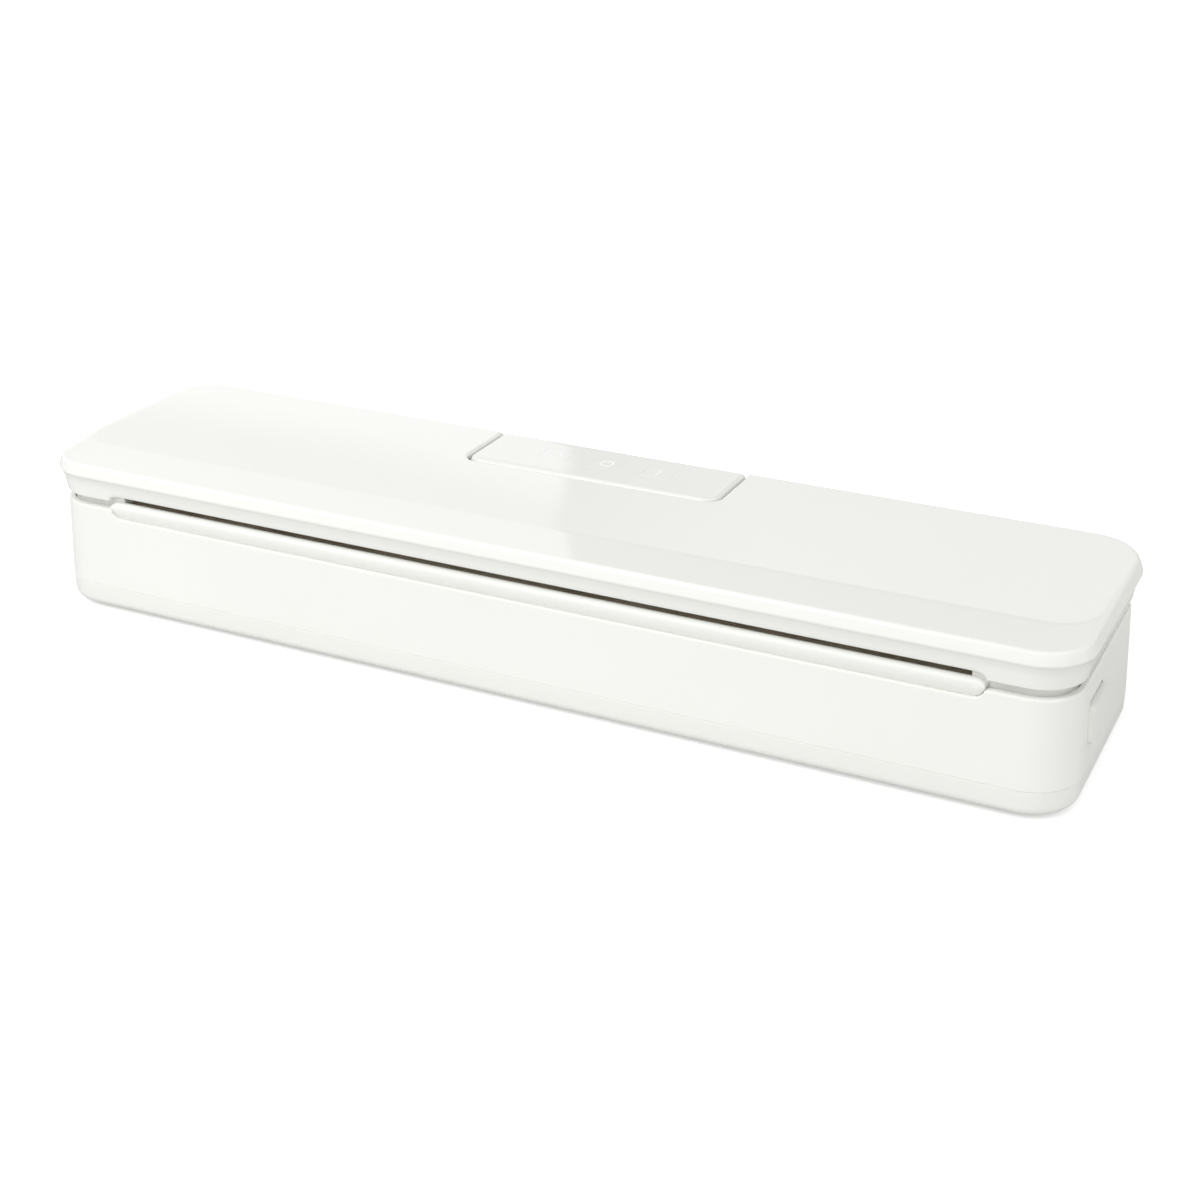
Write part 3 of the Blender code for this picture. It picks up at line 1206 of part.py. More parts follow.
def build_leads():
    """Leads inside the body, each on one smooth curve between two pieces."""
    on_board = BOARD_TOP + CLEARANCE
    start = (-STRIP_HALF, SEAL_MIDDLE, CHANNEL_FLOOR)
    end = (BOARD_LEFT + BOARD_POST_INSET, BOARD_FRONT + BLOCK_SETBACK, on_board)
    lead("heater_lead_left", start, moved(start, z=-LEAD_BEND), moved(end, z=LEAD_BEND), end, RED)
    start = (STRIP_HALF, SEAL_MIDDLE, CHANNEL_FLOOR)
    side = TRANSFORMER_LEFT + TRANSFORMER_LENGTH + CLEARANCE
    end = (side, BOARD_FRONT + TRANSFORMER_DEPTH / 2, PAN_FLOOR + TRANSFORMER_HEIGHT / 2)
    lead("heater_lead_right", start, moved(start, z=-2 * LEAD_BEND), moved(end, x=2 * LEAD_BEND), end, RED)
    start = (INLET_X + INLET_PIN_PITCH / 2, INLET_IN - INLET_TAB - CLEARANCE, INLET_Z)
    end = (start[0] + INLET_PIN_PITCH, BOARD_BACK - 2 * BOARD_POST_INSET, on_board)
    lead("mains_lead", start, moved(start, y=-LEAD_BEND), moved(end, z=LEAD_BEND), end, DARK)
    start = (PUMP_START - CLEARANCE, PUMP_Y, PUMP_Z)
    end = (BOARD_RIGHT - BOARD_POST_INSET, BOARD_BACK - 2 * BOARD_POST_INSET, on_board)
    lead("pump_lead", start, moved(start, x=-2 * LEAD_BEND), moved(end, z=LEAD_BEND), end, RED)
    start = (CABLE_X, CABLE_Y, KEY_BOARD_LOW - CLEARANCE)
    end = (BOARD_RIGHT - 2 * BOARD_POST_INSET, BOARD_BACK - BOARD_POST_INSET / 2, on_board)
    lead("key_cable", start, moved(start, z=-2 * LEAD_BEND), moved(end, z=LEAD_BEND), end, DARK)


def build_notch():
    """The cutter for the lid's notch round the pod: its front wall leans away, so the lid can swing."""
    corner = POD_CORNER + POD_GROOVE
    under = CEILING - CLEARANCE
    rings = []
    for level, height in ((under, RIM), (under, under), (ABOVE, ABOVE)):
        front = POD_FRONT - POD_GROOVE - NOTCH_TAPER * (TOP - level) / (TOP - CEILING)
        rings.append(raised(small_outline(NOTCH_HALF, front, BEHIND + 2 * corner, corner), height))
    return loft("lid_notch", rings, GLOSS_WHITE)


def build_lid_shell():
    """The glossy lid: flat top, shallow front facet, upright slab edge and a skirt that leans in."""
    stops = lid_mouth_stops()
    half = LID_HALF - TOP_SIDE_INSET
    back_corner = LID_CORNER - TOP_BACK_INSET
    top = outline(half, FRONT + FACET_RUN, BACK - TOP_BACK_INSET, TOP_CORNER, back_corner, stops)
    rings = [
        raised(top, TOP),
        raised(inset_outline(SLAB_INSET, stops), SLAB_TOP),
        raised(inset_outline(0.0, stops), SLAB_LOW),
        raised(inset_outline(OVERHANG - SKIRT_LEAN, stops), SLAB_LOW - UNDERCUT_DROP),
        raised(inset_outline(OVERHANG, stops), skirt_height),
        raised(inset_outline(OVERHANG + LID_WALL, stops), skirt_height),
        raised(inset_outline(OVERHANG + LID_WALL, stops), CEILING),
    ]
    lid = loft("lid_shell", rings, GLOSS_WHITE)
    boss_low = LINER_TOP + CLEARANCE
    hole_top = LINER_LOW + LID_SCREW_LENGTH + CLEARANCE
    for place in lid_bosses().values():
        join(lid, post("lid_boss", place, boss_low, CEILING + CLEARANCE, BOSS_RADIUS, GLOSS_WHITE))
        cut(lid, post("lid_pilot", place, LINER_LOW, hole_top, SCREW_RADIUS + CLEARANCE, STEEL))
    cut(lid, build_notch())
    for side, across in SIDES:
        bay = box(
            f"skirt_bay_{side}",
            (across * HINGE_X - HINGE_BAY, HINGE_BAY_FRONT, RIM),
            (across * HINGE_X + HINGE_BAY, BEHIND, HINGE_Z + KNUCKLE_RADIUS + 3 * CLEARANCE),
            GLOSS_WHITE,
        )
        cut(lid, bay)
    return lid


def build_liner():
    """The lid's inner liner: grooves for the foam ring and the pressure strip, and the switch peg."""
    liner = prism("lid_liner", inset_outline(LINER_INSET), LINER_LOW, LINER_TOP, SATIN_WHITE)
    notch_low = (-NOTCH_HALF - WALL, LINER_NOTCH, RIM)
    cut(liner, box("liner_notch", notch_low, (NOTCH_HALF + WALL, BEHIND, ABOVE), SATIN_WHITE))
    cut(liner, gasket_groove(RIM, LINER_LOW + GASKET_SUNK + CLEARANCE))
    channel_low = (-SEAL_HALF - CLEARANCE, SEAL_FRONT - CLEARANCE, RIM)
    channel_top = LINER_LOW + PRESSURE_STRIP_SUNK + CLEARANCE
    channel_high = (SEAL_HALF + CLEARANCE, SEAL_BACK + CLEARANCE, channel_top)
    cut(liner, box("strip_channel", channel_low, channel_high, SATIN_WHITE))
    for side, across in SIDES:
        bay_low = (across * HINGE_X - HINGE_BAY, HINGE_BAY_FRONT, RIM)
        bay_high = (across * HINGE_X + HINGE_BAY, BEHIND, ABOVE)
        cut(liner, box(f"liner_bay_{side}", bay_low, bay_high, SATIN_WHITE))
        place = (across * HINGE_X, LEAF_MIDDLE)
        screw_top = LEAF_LOW + LEAF_SCREW_LENGTH + CLEARANCE
        cut(liner, post("leaf_pilot", place, RIM, screw_top, SCREW_RADIUS + CLEARANCE, STEEL))
    peg = (LID_SWITCH_X, LID_SWITCH_Y)
    peg_low = LID_SWITCH_TOP + PLUNGER_RISE + CLEARANCE
    join(liner, post("switch_peg", peg, peg_low, LINER_LOW + CLEARANCE, PEG_RADIUS, SATIN_WHITE))
    for place in lid_bosses().values():
        screw_hole(liner, place, LINER_LOW, 1, LID_SCREW_LENGTH)
    return liner


def build_lid():
    """Everything that swings with the lid, apart from the hinge leaves and the upper gasket."""
    strip_low = (-SEAL_HALF, SEAL_FRONT, TAPE_TOP + CLEARANCE)
    strip_high = (SEAL_HALF, SEAL_BACK, LINER_LOW + PRESSURE_STRIP_SUNK)
    pieces = [build_lid_shell(), build_liner(), box("pressure_strip", strip_low, strip_high, SILICONE)]
    for side, across in SIDES:
        pieces.append(build_hook(side, across))
    for name, place in lid_bosses().items():
        pieces.append(screw(name, place, LINER_LOW, 1, LID_SCREW_LENGTH))
    return pieces


def main():
    for old in list(bpy.data.objects):
        bpy.data.objects.remove(old)
    build_pan()
    build_shell()
    build_deck()
    build_seal()
    build_pod()
    build_electrics()
    pivoted = build_keys()
    for side, across in SIDES:
        pivoted.append(build_release(side, across))
    pivoted.append(build_pump())
    swinging = build_lid() + build_hinges()
    swinging.append(build_gaskets())
    settle()
    for piece, place in pivoted:
        centre_on(piece, place)
    pivot = bpy.data.objects.new("lid_pivot", None)
    pivot.location = (0, HINGE_Y, HINGE_Z)
    bpy.context.scene.collection.objects.link(pivot)
    hang_on(swinging, pivot)


main()
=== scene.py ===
"""Looks of a slim household vacuum bag sealer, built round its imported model.

Metres, +Z up. +X is to the right of someone facing the bag slot, and +Y points to the back.
"""

import json
import math

import bmesh
import bpy
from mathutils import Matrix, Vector

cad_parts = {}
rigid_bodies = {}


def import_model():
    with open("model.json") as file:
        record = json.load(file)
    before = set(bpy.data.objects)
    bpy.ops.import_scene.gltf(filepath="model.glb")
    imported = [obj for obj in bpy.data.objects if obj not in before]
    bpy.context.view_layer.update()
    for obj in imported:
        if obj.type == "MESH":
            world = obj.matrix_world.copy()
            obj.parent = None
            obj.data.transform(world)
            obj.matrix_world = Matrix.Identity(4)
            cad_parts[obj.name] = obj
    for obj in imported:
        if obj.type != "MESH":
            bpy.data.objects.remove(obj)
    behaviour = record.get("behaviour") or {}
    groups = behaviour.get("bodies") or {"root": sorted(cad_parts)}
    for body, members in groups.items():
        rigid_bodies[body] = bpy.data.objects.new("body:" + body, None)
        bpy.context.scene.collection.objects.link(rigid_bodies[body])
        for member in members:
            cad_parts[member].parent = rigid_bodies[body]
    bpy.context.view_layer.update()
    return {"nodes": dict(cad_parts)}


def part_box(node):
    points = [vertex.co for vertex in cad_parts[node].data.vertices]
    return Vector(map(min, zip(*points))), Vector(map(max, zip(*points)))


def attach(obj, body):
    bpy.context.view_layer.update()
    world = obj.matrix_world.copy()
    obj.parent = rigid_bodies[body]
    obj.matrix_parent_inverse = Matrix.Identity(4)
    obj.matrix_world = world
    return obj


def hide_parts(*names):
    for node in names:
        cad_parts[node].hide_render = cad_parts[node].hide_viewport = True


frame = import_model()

# Camera, as it stood for the photograph
CAMERA_PLACE = Vector((0.2873, -0.5677, 0.3155))
CAMERA_AZIMUTH = math.radians(25.77)
CAMERA_ELEVATION = math.radians(24.99)
FOCAL_PIXELS = 1946.0
PHOTO_PIXELS = 1200
SENSOR = 36.0
CLIP_NEAR = 0.01
CLIP_FAR = 50.0

# Main places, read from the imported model
LID_LOW, LID_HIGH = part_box("lid_shell")
SHELL_LOW, SHELL_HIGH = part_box("base_shell")
PAN_LOW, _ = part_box("bottom_pan")
POD_LOW, POD_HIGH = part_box("control_pod")
INLET_LOW, INLET_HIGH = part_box("mains_inlet")
LID_HALF = LID_HIGH.x
FRONT = LID_LOW.y
BACK = LID_HIGH.y
TOP = LID_HIGH.z
RIM = SHELL_HIGH.z

# Lid, where each step of the skirt's cove is a drop below the slab's edge and an inset
LID_CORNER = 0.018
TOP_CORNER = 0.014
TOP_SIDE_INSET = 0.0032
TOP_BACK_INSET = 0.0024
FACET_RUN = 0.0193
SLAB_INSET = 0.0015
BEVEL_RISE = 0.0018
SLAB_EDGE = 0.0041
LID_WALL = 0.0020
LID_ROOF = 0.0018
OVERHANG = 0.0024
SKIRT_COVE = ((0.0012, 0.0009), (0.0035, 0.0017))
SKIRT_DROP = 0.0003
CROWN_FLAT = 0.0030
CROWN_EASE = 0.0012
EDGE_EASE = 0.0006
COVE_EASE = 0.0010
SKIRT_EASE = 0.0006
SKIRT_MOUTH_EASE = 0.0017
LID_MOUTH_HALF = 0.1655
LID_MOUTH_RUN = 0.0050
LID_MOUTH_LIFT = 0.0021
NOTCH_EASE = 0.0012
NOTCH_SWEEP = math.radians(80)

# Base, with its pan, release buttons, mains inlet and hinge bays
WALL = 0.0022
FLARE = 0.0015
RIM_DROP = 0.0010
RIM_ROUND = 0.0009
RIM_FALL = 0.0011
MOUTH_ROUND = 0.0006
MOUTH_HALF = 0.16525
MOUTH_DROP = 0.00435
MOUTH_EASE = 0.0009
GROOVE_DEPTH = 0.0010
GROOVE_LOW = 0.0018
GROOVE_HIGH = 0.0023
SEAM = 0.00012
BASE_EASE = 0.00035
PAN_ROUND = 0.0035
PAN_EASE = 0.0003
RECESS_GAP = 0.0003
BUTTON_LENGTH = 0.0195
BUTTON_SETBACK = 0.0225
BUTTON_DROP = 0.0097
BUTTON_HEIGHT = 0.0137
BUTTON_CORNER = 0.0022
BUTTON_EASE = 0.00045
WINDOW_RISE = 0.0009
WINDOW_GAP = 0.00006
INLET_FLANGE = 0.0016
BAY_GAP = 0.0015
KNUCKLE_GAP = 0.0006

# Control pod and keys
POD_CORNER = 0.0050
POD_BACK_CORNER = 0.0010
POD_LEAST_CORNER = 0.0005
POD_GROOVE = 0.0010
NOTCH_TAPER = 0.0010
POD_WALL = 0.0020
POD_ROOF = 0.0022
POD_FLAT = 0.0036
POD_EASE = 0.0024
KEY_GAP = 0.00004
KEY_CORNER = 0.0012
KEY_WIDTH = 0.0116
KEY_DEPTH = 0.0108
KEY_FLANGE = 0.0012
KEY_EASE = 0.00012
KEY_RIM = 0.0004
KEY_STEM_RADIUS = 0.0020
KEY_FLANGE_GAP = 0.0003
MARK_RISE = 0.00008
RING_RADIUS = 0.0029
RING_WIDTH = 0.0010
BAR_LENGTH = 0.0056
BAR_WIDTH = 0.0012
DOT_RADIUS = 0.0008
DOT_ORBIT = 0.0020
DOT_COUNT = 6

# Screws, feet, foam and small pieces
CROSS_LENGTH = 0.0032
CROSS_WIDTH = 0.0006
CROSS_DEPTH = 0.0005
SCREW_EASE = 0.00015
FOOT_EASE = 0.0005
FOAM_EASE = 0.0011
SMALL_EASE = 0.00025

# Facets, shading and grain
CORNER_STEPS = 16
EASE_STEPS = 5
EASE_REACH = 0.48
SMALL_STEPS = 6
ROUND_SIDES = 48
EDGE_SEGMENTS = 3
SMALL_SEGMENTS = 2
FOAM_SEGMENTS = 5
SHARP_ANGLE = math.radians(35)
FLAT_ANGLE = math.radians(0.5)
WELD = 1e-6
CLOUD_STOPS = (0.35, 0.65)
CLOUD_DETAIL = 4.0
RELIEF_DETAIL = 3.0

# Levels and places worked out from the sizes above
SLAB_TOP = TOP - BEVEL_RISE
SLAB_LOW = SLAB_TOP - SLAB_EDGE
CEILING = SLAB_TOP - LID_ROOF
SKIRT_LOW = LID_LOW.z - SKIRT_DROP
RIM_LEVEL = RIM - RIM_DROP
NOTCH_HALF = POD_HIGH.x + POD_GROOVE
BEHIND = BACK + WALL
ABOVE = TOP + WALL
BUTTON_Y = FRONT + BUTTON_SETBACK + BUTTON_LENGTH / 2
BUTTON_Z = RIM - BUTTON_DROP - BUTTON_HEIGHT / 2
SIDES = (("left", -1), ("right", 1))


def nodes_of(tree):
    """A function that adds a shader node, sets its properties and fills or links its inputs."""

    def add(kind, inputs=(), **settings):
        made = tree.nodes.new("ShaderNode" + kind)
        for name, value in settings.items():
            setattr(made, name, value)
        for key, value in dict(inputs).items():
            if isinstance(value, bpy.types.NodeSocket):
                tree.links.new(value, made.inputs[key])
            else:
                made.inputs[key].default_value = value
        return made

    return add


def finish(name, colours, roughness, grain, relief, metallic=0.0):
    """A material whose colour, roughness and fine relief vary over the surface.

    colours are a dark and a light one, roughness is its least and greatest value, grain is how many
    spots there are in a metre for the colour and for the relief, and relief is its depth in metres.
    """
    made = bpy.data.materials.new("fine_" + name)
    made.use_nodes = True
    tree = made.node_tree
    add = nodes_of(tree)
    shader = tree.nodes["Principled BSDF"]
    place = add("TexCoord").outputs["Object"]
    clouds = add("TexNoise", {"Vector": place, "Scale": grain[0], "Detail": CLOUD_DETAIL}).outputs["Fac"]
    spread = add("ValToRGB", {"Fac": clouds})
    for stop, position, colour in zip(spread.color_ramp.elements, CLOUD_STOPS, colours):
        stop.position = position
        stop.color = (*colour, 1.0)
    tree.links.new(spread.outputs["Color"], shader.inputs["Base Color"])
    polish = add("MapRange", {"Value": clouds, "To Min": roughness[0], "To Max": roughness[1]})
    tree.links.new(polish.outputs["Result"], shader.inputs["Roughness"])
    fine = add("TexNoise", {"Vector": place, "Scale": grain[1], "Detail": RELIEF_DETAIL}).outputs["Fac"]
    bump = add("Bump", {"Height": fine, "Distance": relief, "Strength": 1.0})
    tree.links.new(bump.outputs["Normal"], shader.inputs["Normal"])
    shader.inputs["Metallic"].default_value = metallic
    return made


def weave(name, colours):
    """Coated glass cloth: two sets of fine threads at right angles."""
    threads = 900.0
    depth = 2e-5
    firmness = 0.6
    roughness = (0.34, 0.46)
    grain = (40.0, 1500.0)
    made = finish(name, colours, roughness, grain, depth)
    tree = made.node_tree
    add = nodes_of(tree)
    place = add("TexCoord").outputs["Object"]
    across = add("TexWave", {"Vector": place, "Scale": threads}, bands_direction="X").outputs["Fac"]
    along = add("TexWave", {"Vector": place, "Scale": threads}, bands_direction="Y").outputs["Fac"]
    both = add("Math", {0: across, 1: along}, operation="MULTIPLY").outputs["Value"]
    bump = add("Bump", {"Height": both, "Distance": depth, "Strength": firmness})
    tree.links.new(bump.outputs["Normal"], tree.nodes["Principled BSDF"].inputs["Normal"])
    return made


# Colours dark and light, roughness least and greatest, grain of colour and relief, depth of relief, metal
RECIPES = {
    "gloss_white": (((0.876, 0.882, 0.846), (0.888, 0.894, 0.858)), (0.028, 0.046), (9.0, 260.0), 2e-7),
    "satin_white": (((0.876, 0.882, 0.846), (0.890, 0.896, 0.860)), (0.36, 0.44), (14.0, 2600.0), 4e-6),
    # The bottom pan's finish is a darker copy of the satin white: painted shade for the floor's shadow on
    # the pan.
    "pan_white": (((0.856, 0.862, 0.826), (0.868, 0.874, 0.838)), (0.36, 0.44), (14.0, 2600.0), 4e-6),
    # The pod's finish is a darker copy of the gloss white: painted shade that makes the pod render darker
    # than the lid.
    "pod_white": (((0.850, 0.856, 0.822), (0.862, 0.868, 0.834)), (0.028, 0.046), (9.0, 260.0), 2e-7),
    "key_white": (((0.852, 0.858, 0.826), (0.864, 0.870, 0.838)), (0.04, 0.07), (30.0, 260.0), 2e-7),
    "mark_white": (((0.94, 0.94, 0.92), (0.96, 0.96, 0.94)), (0.30, 0.40), (200.0, 2000.0), 1e-6),
    "rubber": (((0.17, 0.17, 0.17), (0.24, 0.24, 0.24)), (0.70, 0.85), (160.0, 1800.0), 2e-5),
    "foam_dark": (((0.030, 0.030, 0.031), (0.080, 0.080, 0.083)), (0.85, 0.98), (900.0, 2400.0), 1.2e-4),
    "black_plastic": (((0.028, 0.028, 0.029), (0.045, 0.045, 0.047)), (0.42, 0.55), (60.0, 2200.0), 1e-5),
    "strip_metal": (((0.56, 0.54, 0.51), (0.68, 0.66, 0.62)), (0.22, 0.36), (500.0, 1500.0), 3e-6, 1.0),
    "silicone_grey": (((0.40, 0.40, 0.39), (0.47, 0.47, 0.46)), (0.50, 0.62), (90.0, 900.0), 1e-5),
    "steel": (((0.55, 0.55, 0.56), (0.68, 0.68, 0.69)), (0.22, 0.38), (350.0, 1600.0), 4e-6, 1.0),
    "zinc": (((0.44, 0.45, 0.46), (0.58, 0.59, 0.61)), (0.34, 0.50), (220.0, 1200.0), 1e-5, 1.0),
    "board_green": (((0.030, 0.150, 0.065), (0.055, 0.230, 0.105)), (0.35, 0.50), (300.0, 1500.0), 1e-5),
    "hose_pale": (((0.68, 0.71, 0.71), (0.78, 0.81, 0.81)), (0.28, 0.38), (120.0, 900.0), 5e-6),
    "lead_red": (((0.45, 0.045, 0.035), (0.60, 0.070, 0.055)), (0.40, 0.55), (200.0, 1200.0), 5e-6),
    "lead_black": (((0.025, 0.025, 0.025), (0.045, 0.045, 0.045)), (0.40, 0.55), (200.0, 1200.0), 5e-6),
}
FINISHES = {name: finish(name, *recipe) for name, recipe in RECIPES.items()}
FINISHES["tape_brown"] = weave("tape_brown", ((0.33, 0.27, 0.20), (0.45, 0.38, 0.29)))


def placed(name, data):
    """A new object in the scene for a mesh, a camera or a lamp."""
    made = bpy.data.objects.new(name, data)
    bpy.context.scene.collection.objects.link(made)
    return made


def skin(name, rings, loop=False):
    """An object over rings of equally many points: capped at both ends, or closed on itself."""
    count = len(rings[0])
    points = [tuple(point) for ring in rings for point in ring]
    faces = []
    for low in range(len(rings) if loop else len(rings) - 1):
        high = (low + 1) % len(rings)
        for i in range(count):
            after = (i + 1) % count
            faces.append((low * count + i, low * count + after, high * count + after, high * count + i))
    if not loop:
        faces.append(tuple(range(count)))
        faces.append(tuple(range((len(rings) - 1) * count, len(rings) * count)))
    mesh = bpy.data.meshes.new(name)
    mesh.from_pydata(points, [], faces)
    shape = bmesh.new()
    shape.from_mesh(mesh)
    bmesh.ops.remove_doubles(shape, verts=shape.verts, dist=WELD)
    bmesh.ops.recalc_face_normals(shape, faces=shape.faces)
    shape.to_mesh(mesh)
    shape.free()
    return placed(name, mesh)


def prism(name, points, low, high):
    """Points in the XY plane raised from one height to another."""
    return skin(name, [raised(points, low), raised(points, high)])


def box(name, corner, opposite):
    """A block between two opposite corners."""
    low = [min(a, b) for a, b in zip(corner, opposite)]
    high = [max(a, b) for a, b in zip(corner, opposite)]
    base = [(low[0], low[1]), (high[0], low[1]), (high[0], high[1]), (low[0], high[1])]
    return prism(name, base, low[2], high[2])


def post(name, place, low, high, radius):
    """An upright round bar over a place in the XY plane."""
    return prism(name, arc(place, radius, 0, 360, ROUND_SIDES)[:-1], low, high)


def arc(centre, radius, start, end, steps):
    """Points of a circle's arc between two angles in degrees."""
    points = []
    for i in range(steps + 1):
        angle = math.radians(start + (end - start) * i / steps)
        points.append((centre[0] + radius * math.cos(angle), centre[1] + radius * math.sin(angle)))
    return points


def outline(half, front, back, front_radius, back_radius, stops=(), steps=CORNER_STEPS):
    """A rectangle with round corners, anticlockwise from its front edge, where stops add points."""
    points = [(x, front) for x in stops]
    points += arc((half - front_radius, front + front_radius), front_radius, 270, 360, steps)
    points += arc((half - back_radius, back - back_radius), back_radius, 0, 90, steps)
    points += arc((back_radius - half, back - back_radius), back_radius, 90, 180, steps)
    points += arc((front_radius - half, front + front_radius), front_radius, 180, 270, steps)
    return points


def small_outline(half, front, back, radius):
    """A rectangle with small round corners."""
    return outline(half, front, back, radius, radius, steps=SMALL_STEPS)


def lid_outline(inset, stops=()):
    """The lid's widest outline, drawn in by a distance all round."""
    radius = LID_CORNER - inset
    return outline(LID_HALF - inset, FRONT + inset, BACK - inset, radius, radius, stops)


def raised(points, height):
    """Points in the XY plane set at one height, or each at its own."""
    heights = height if isinstance(height, list) else [height] * len(points)
    return [(x, y, z) for (x, y), z in zip(points, heights)]


def eased(rings, setbacks):
    """The rings, with those that have a setback, or one for each point, replaced by several round ones."""
    made = []
    for i, (ring, setback) in enumerate(zip(rings, setbacks)):
        if not setback:
            made.append(ring)
            continue
        ways = setback if isinstance(setback, list) else [setback] * len(ring)
        for step in range(EASE_STEPS + 1):
            t = step / EASE_STEPS
            round_ring = []
            for before, corner, after, way in zip(rings[i - 1], ring, rings[i + 1], ways):
                corner = Vector(corner)
                start = towards(corner, Vector(before), way)
                end = towards(corner, Vector(after), way)
                round_ring.append(start * (1 - t) ** 2 + corner * (2 * t * (1 - t)) + end * t ** 2)
            made.append(round_ring)
    return made


def towards(start, end, distance):
    """The point that far along from start to end, but no further than a share just under half."""
    way = end - start
    return start + way * min(distance / max(way.length, WELD), EASE_REACH)


def carve(target, tool):
    """Cuts the tool away from the target, once the target is settled."""
    change = target.modifiers.new(tool.name, "BOOLEAN")
    change.operation = "DIFFERENCE"
    change.object = tool
    change.solver = "EXACT"
    tool.hide_render = True


def soften(target, width, segments=EDGE_SEGMENTS):
    """Rounds the target's sharp edges, once the target is settled."""
    change = target.modifiers.new("soften", "BEVEL")
    change.width = width
    change.segments = segments
    change.limit_method = "ANGLE"
    change.angle_limit = SHARP_ANGLE


def settle(target):
    """Applies the target's modifiers and removes the tools they used."""
    tools = [change.object for change in target.modifiers if change.type == "BOOLEAN"]
    bpy.context.view_layer.update()
    graph = bpy.context.evaluated_depsgraph_get()
    shape = bpy.data.meshes.new_from_object(target.evaluated_get(graph))
    target.modifiers.clear()
    target.data = shape
    for tool in tools:
        bpy.data.objects.remove(tool)


def dress(target, body, slot, *nodes, look=None):
    """Gives a piece its finish and its shading, and puts it on its body in place of its nodes."""
    settle(target)
    target.data.materials.clear()
    target.data.materials.append(FINISHES[look or slot])
    target.data.shade_smooth()
    target.data.set_sharp_from_angle(angle=SHARP_ANGLE)
    weigh = target.modifiers.new("weigh", "WEIGHTED_NORMAL")
    weigh.keep_sharp = True
    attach(target, body)
    if nodes:
        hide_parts(*nodes)
    return target


def refine(node, width, tools=(), segments=EDGE_SEGMENTS):
    """A piece with a CAD node's own shape, cut by tools, with its edges rounded."""
    source = frame["nodes"][node]
    mesh = source.data.copy()
    shape = bmesh.new()
    shape.from_mesh(mesh)
    bmesh.ops.remove_doubles(shape, verts=shape.verts, dist=WELD)
    bmesh.ops.dissolve_limit(shape, angle_limit=FLAT_ANGLE, verts=shape.verts, edges=shape.edges)
    shape.to_mesh(mesh)
    shape.free()
    piece = placed(node + "_fine", mesh)
    for tool in tools:
        carve(piece, tool)
    if width:
        soften(piece, width, segments)
    body = source.parent.name.split(":")[1]
    slot = source.data.materials[0].name
    return dress(piece, body, slot, node)


def middle_of(node):
    """The middle of a node in the XY plane."""
    low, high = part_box(node)
    return ((low.x + high.x) / 2, (low.y + high.y) / 2)


def shifted(points, place):
    """Points in the XY plane, moved so that their origin comes to a place."""
    return [(place[0] + x, place[1] + y) for x, y in points]


def both_ends(path):
    """A path of (x, height) pairs at the right end, with its mirror image at the left end before it."""
    return [(-x, z) for x, z in path] + path[::-1]


def hinge_axis(side):
    """The y and z of the middle of one hinge's pin."""
    pin_low, pin_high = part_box(f"hinge_pin_{side}")
    return (pin_low.y + pin_high.y) / 2, (pin_low.z + pin_high.z) / 2


def hinge_bay(side, low, high):
    """The cutter for the space round one hinge's knuckles, between two heights."""
    bracket_low, bracket_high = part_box(f"hinge_bracket_{side}")
    axis, _ = hinge_axis(side)
    front = axis - (bracket_high.y - axis) - KNUCKLE_GAP
    corner = (bracket_low.x - BAY_GAP, front, low)
    return box(f"bay_{side}", corner, (bracket_high.x + BAY_GAP, BEHIND, high))


def lid_mouth():
    """The lid's lower edge along the front, where it lifts over the mouth."""
    path = []
    for across, up in arc((0.0, 0.0), 1.0, 0, 90, 2 * SMALL_STEPS):
        x = LID_MOUTH_HALF - LID_MOUTH_RUN * (1 - across)
        path.append((x, SKIRT_LOW + LID_MOUTH_LIFT * up))
    return both_ends(path)


def top_outline(inset, stops):
    """The outline of the lid's flat top, drawn in by a distance all round."""
    return outline(
        LID_HALF - TOP_SIDE_INSET - inset,
        FRONT + FACET_RUN + inset,
        BACK - TOP_BACK_INSET - inset,
        TOP_CORNER - inset,
        LID_CORNER - TOP_BACK_INSET - inset,
        stops,
    )


def build_lid():
    """The glossy lid: a flat top, a shallow front facet, a slab edge and a skirt that sweeps in below."""
    mouth = lid_mouth()
    stops = [x for x, _ in mouth]
    skirt = lid_outline(OVERHANG, stops)
    lower = [z for _, z in mouth] + [SKIRT_LOW] * (len(skirt) - len(stops))
    inner = lid_outline(OVERHANG + LID_WALL, stops)
    rings = [
        raised(top_outline(CROWN_FLAT, stops), TOP),
        raised(top_outline(0.0, stops), TOP),
        raised(lid_outline(SLAB_INSET, stops), SLAB_TOP),
        raised(lid_outline(0.0, stops), SLAB_LOW),
    ]
    rings += [raised(lid_outline(inset, stops), SLAB_LOW - drop) for drop, inset in SKIRT_COVE]
    rings += [raised(skirt, lower), raised(inner, lower), raised(inner, CEILING)]
    setbacks = [0, CROWN_EASE, CROWN_EASE, EDGE_EASE]
    setbacks += [COVE_EASE] * len(SKIRT_COVE)
    growth = (SKIRT_MOUTH_EASE - SKIRT_EASE) / LID_MOUTH_LIFT
    setbacks += [[SKIRT_EASE + growth * (z - SKIRT_LOW) for z in lower], SKIRT_EASE, 0]
    lid = skin("lid_cover", eased(rings, setbacks))
    carve(lid, notch_tool())
    for side, _ in SIDES:
        _, bracket_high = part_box(f"hinge_bracket_{side}")
        carve(lid, hinge_bay(side, RIM, bracket_high.z + KNUCKLE_GAP))
    dress(lid, "lid", "gloss_white", "lid_shell")


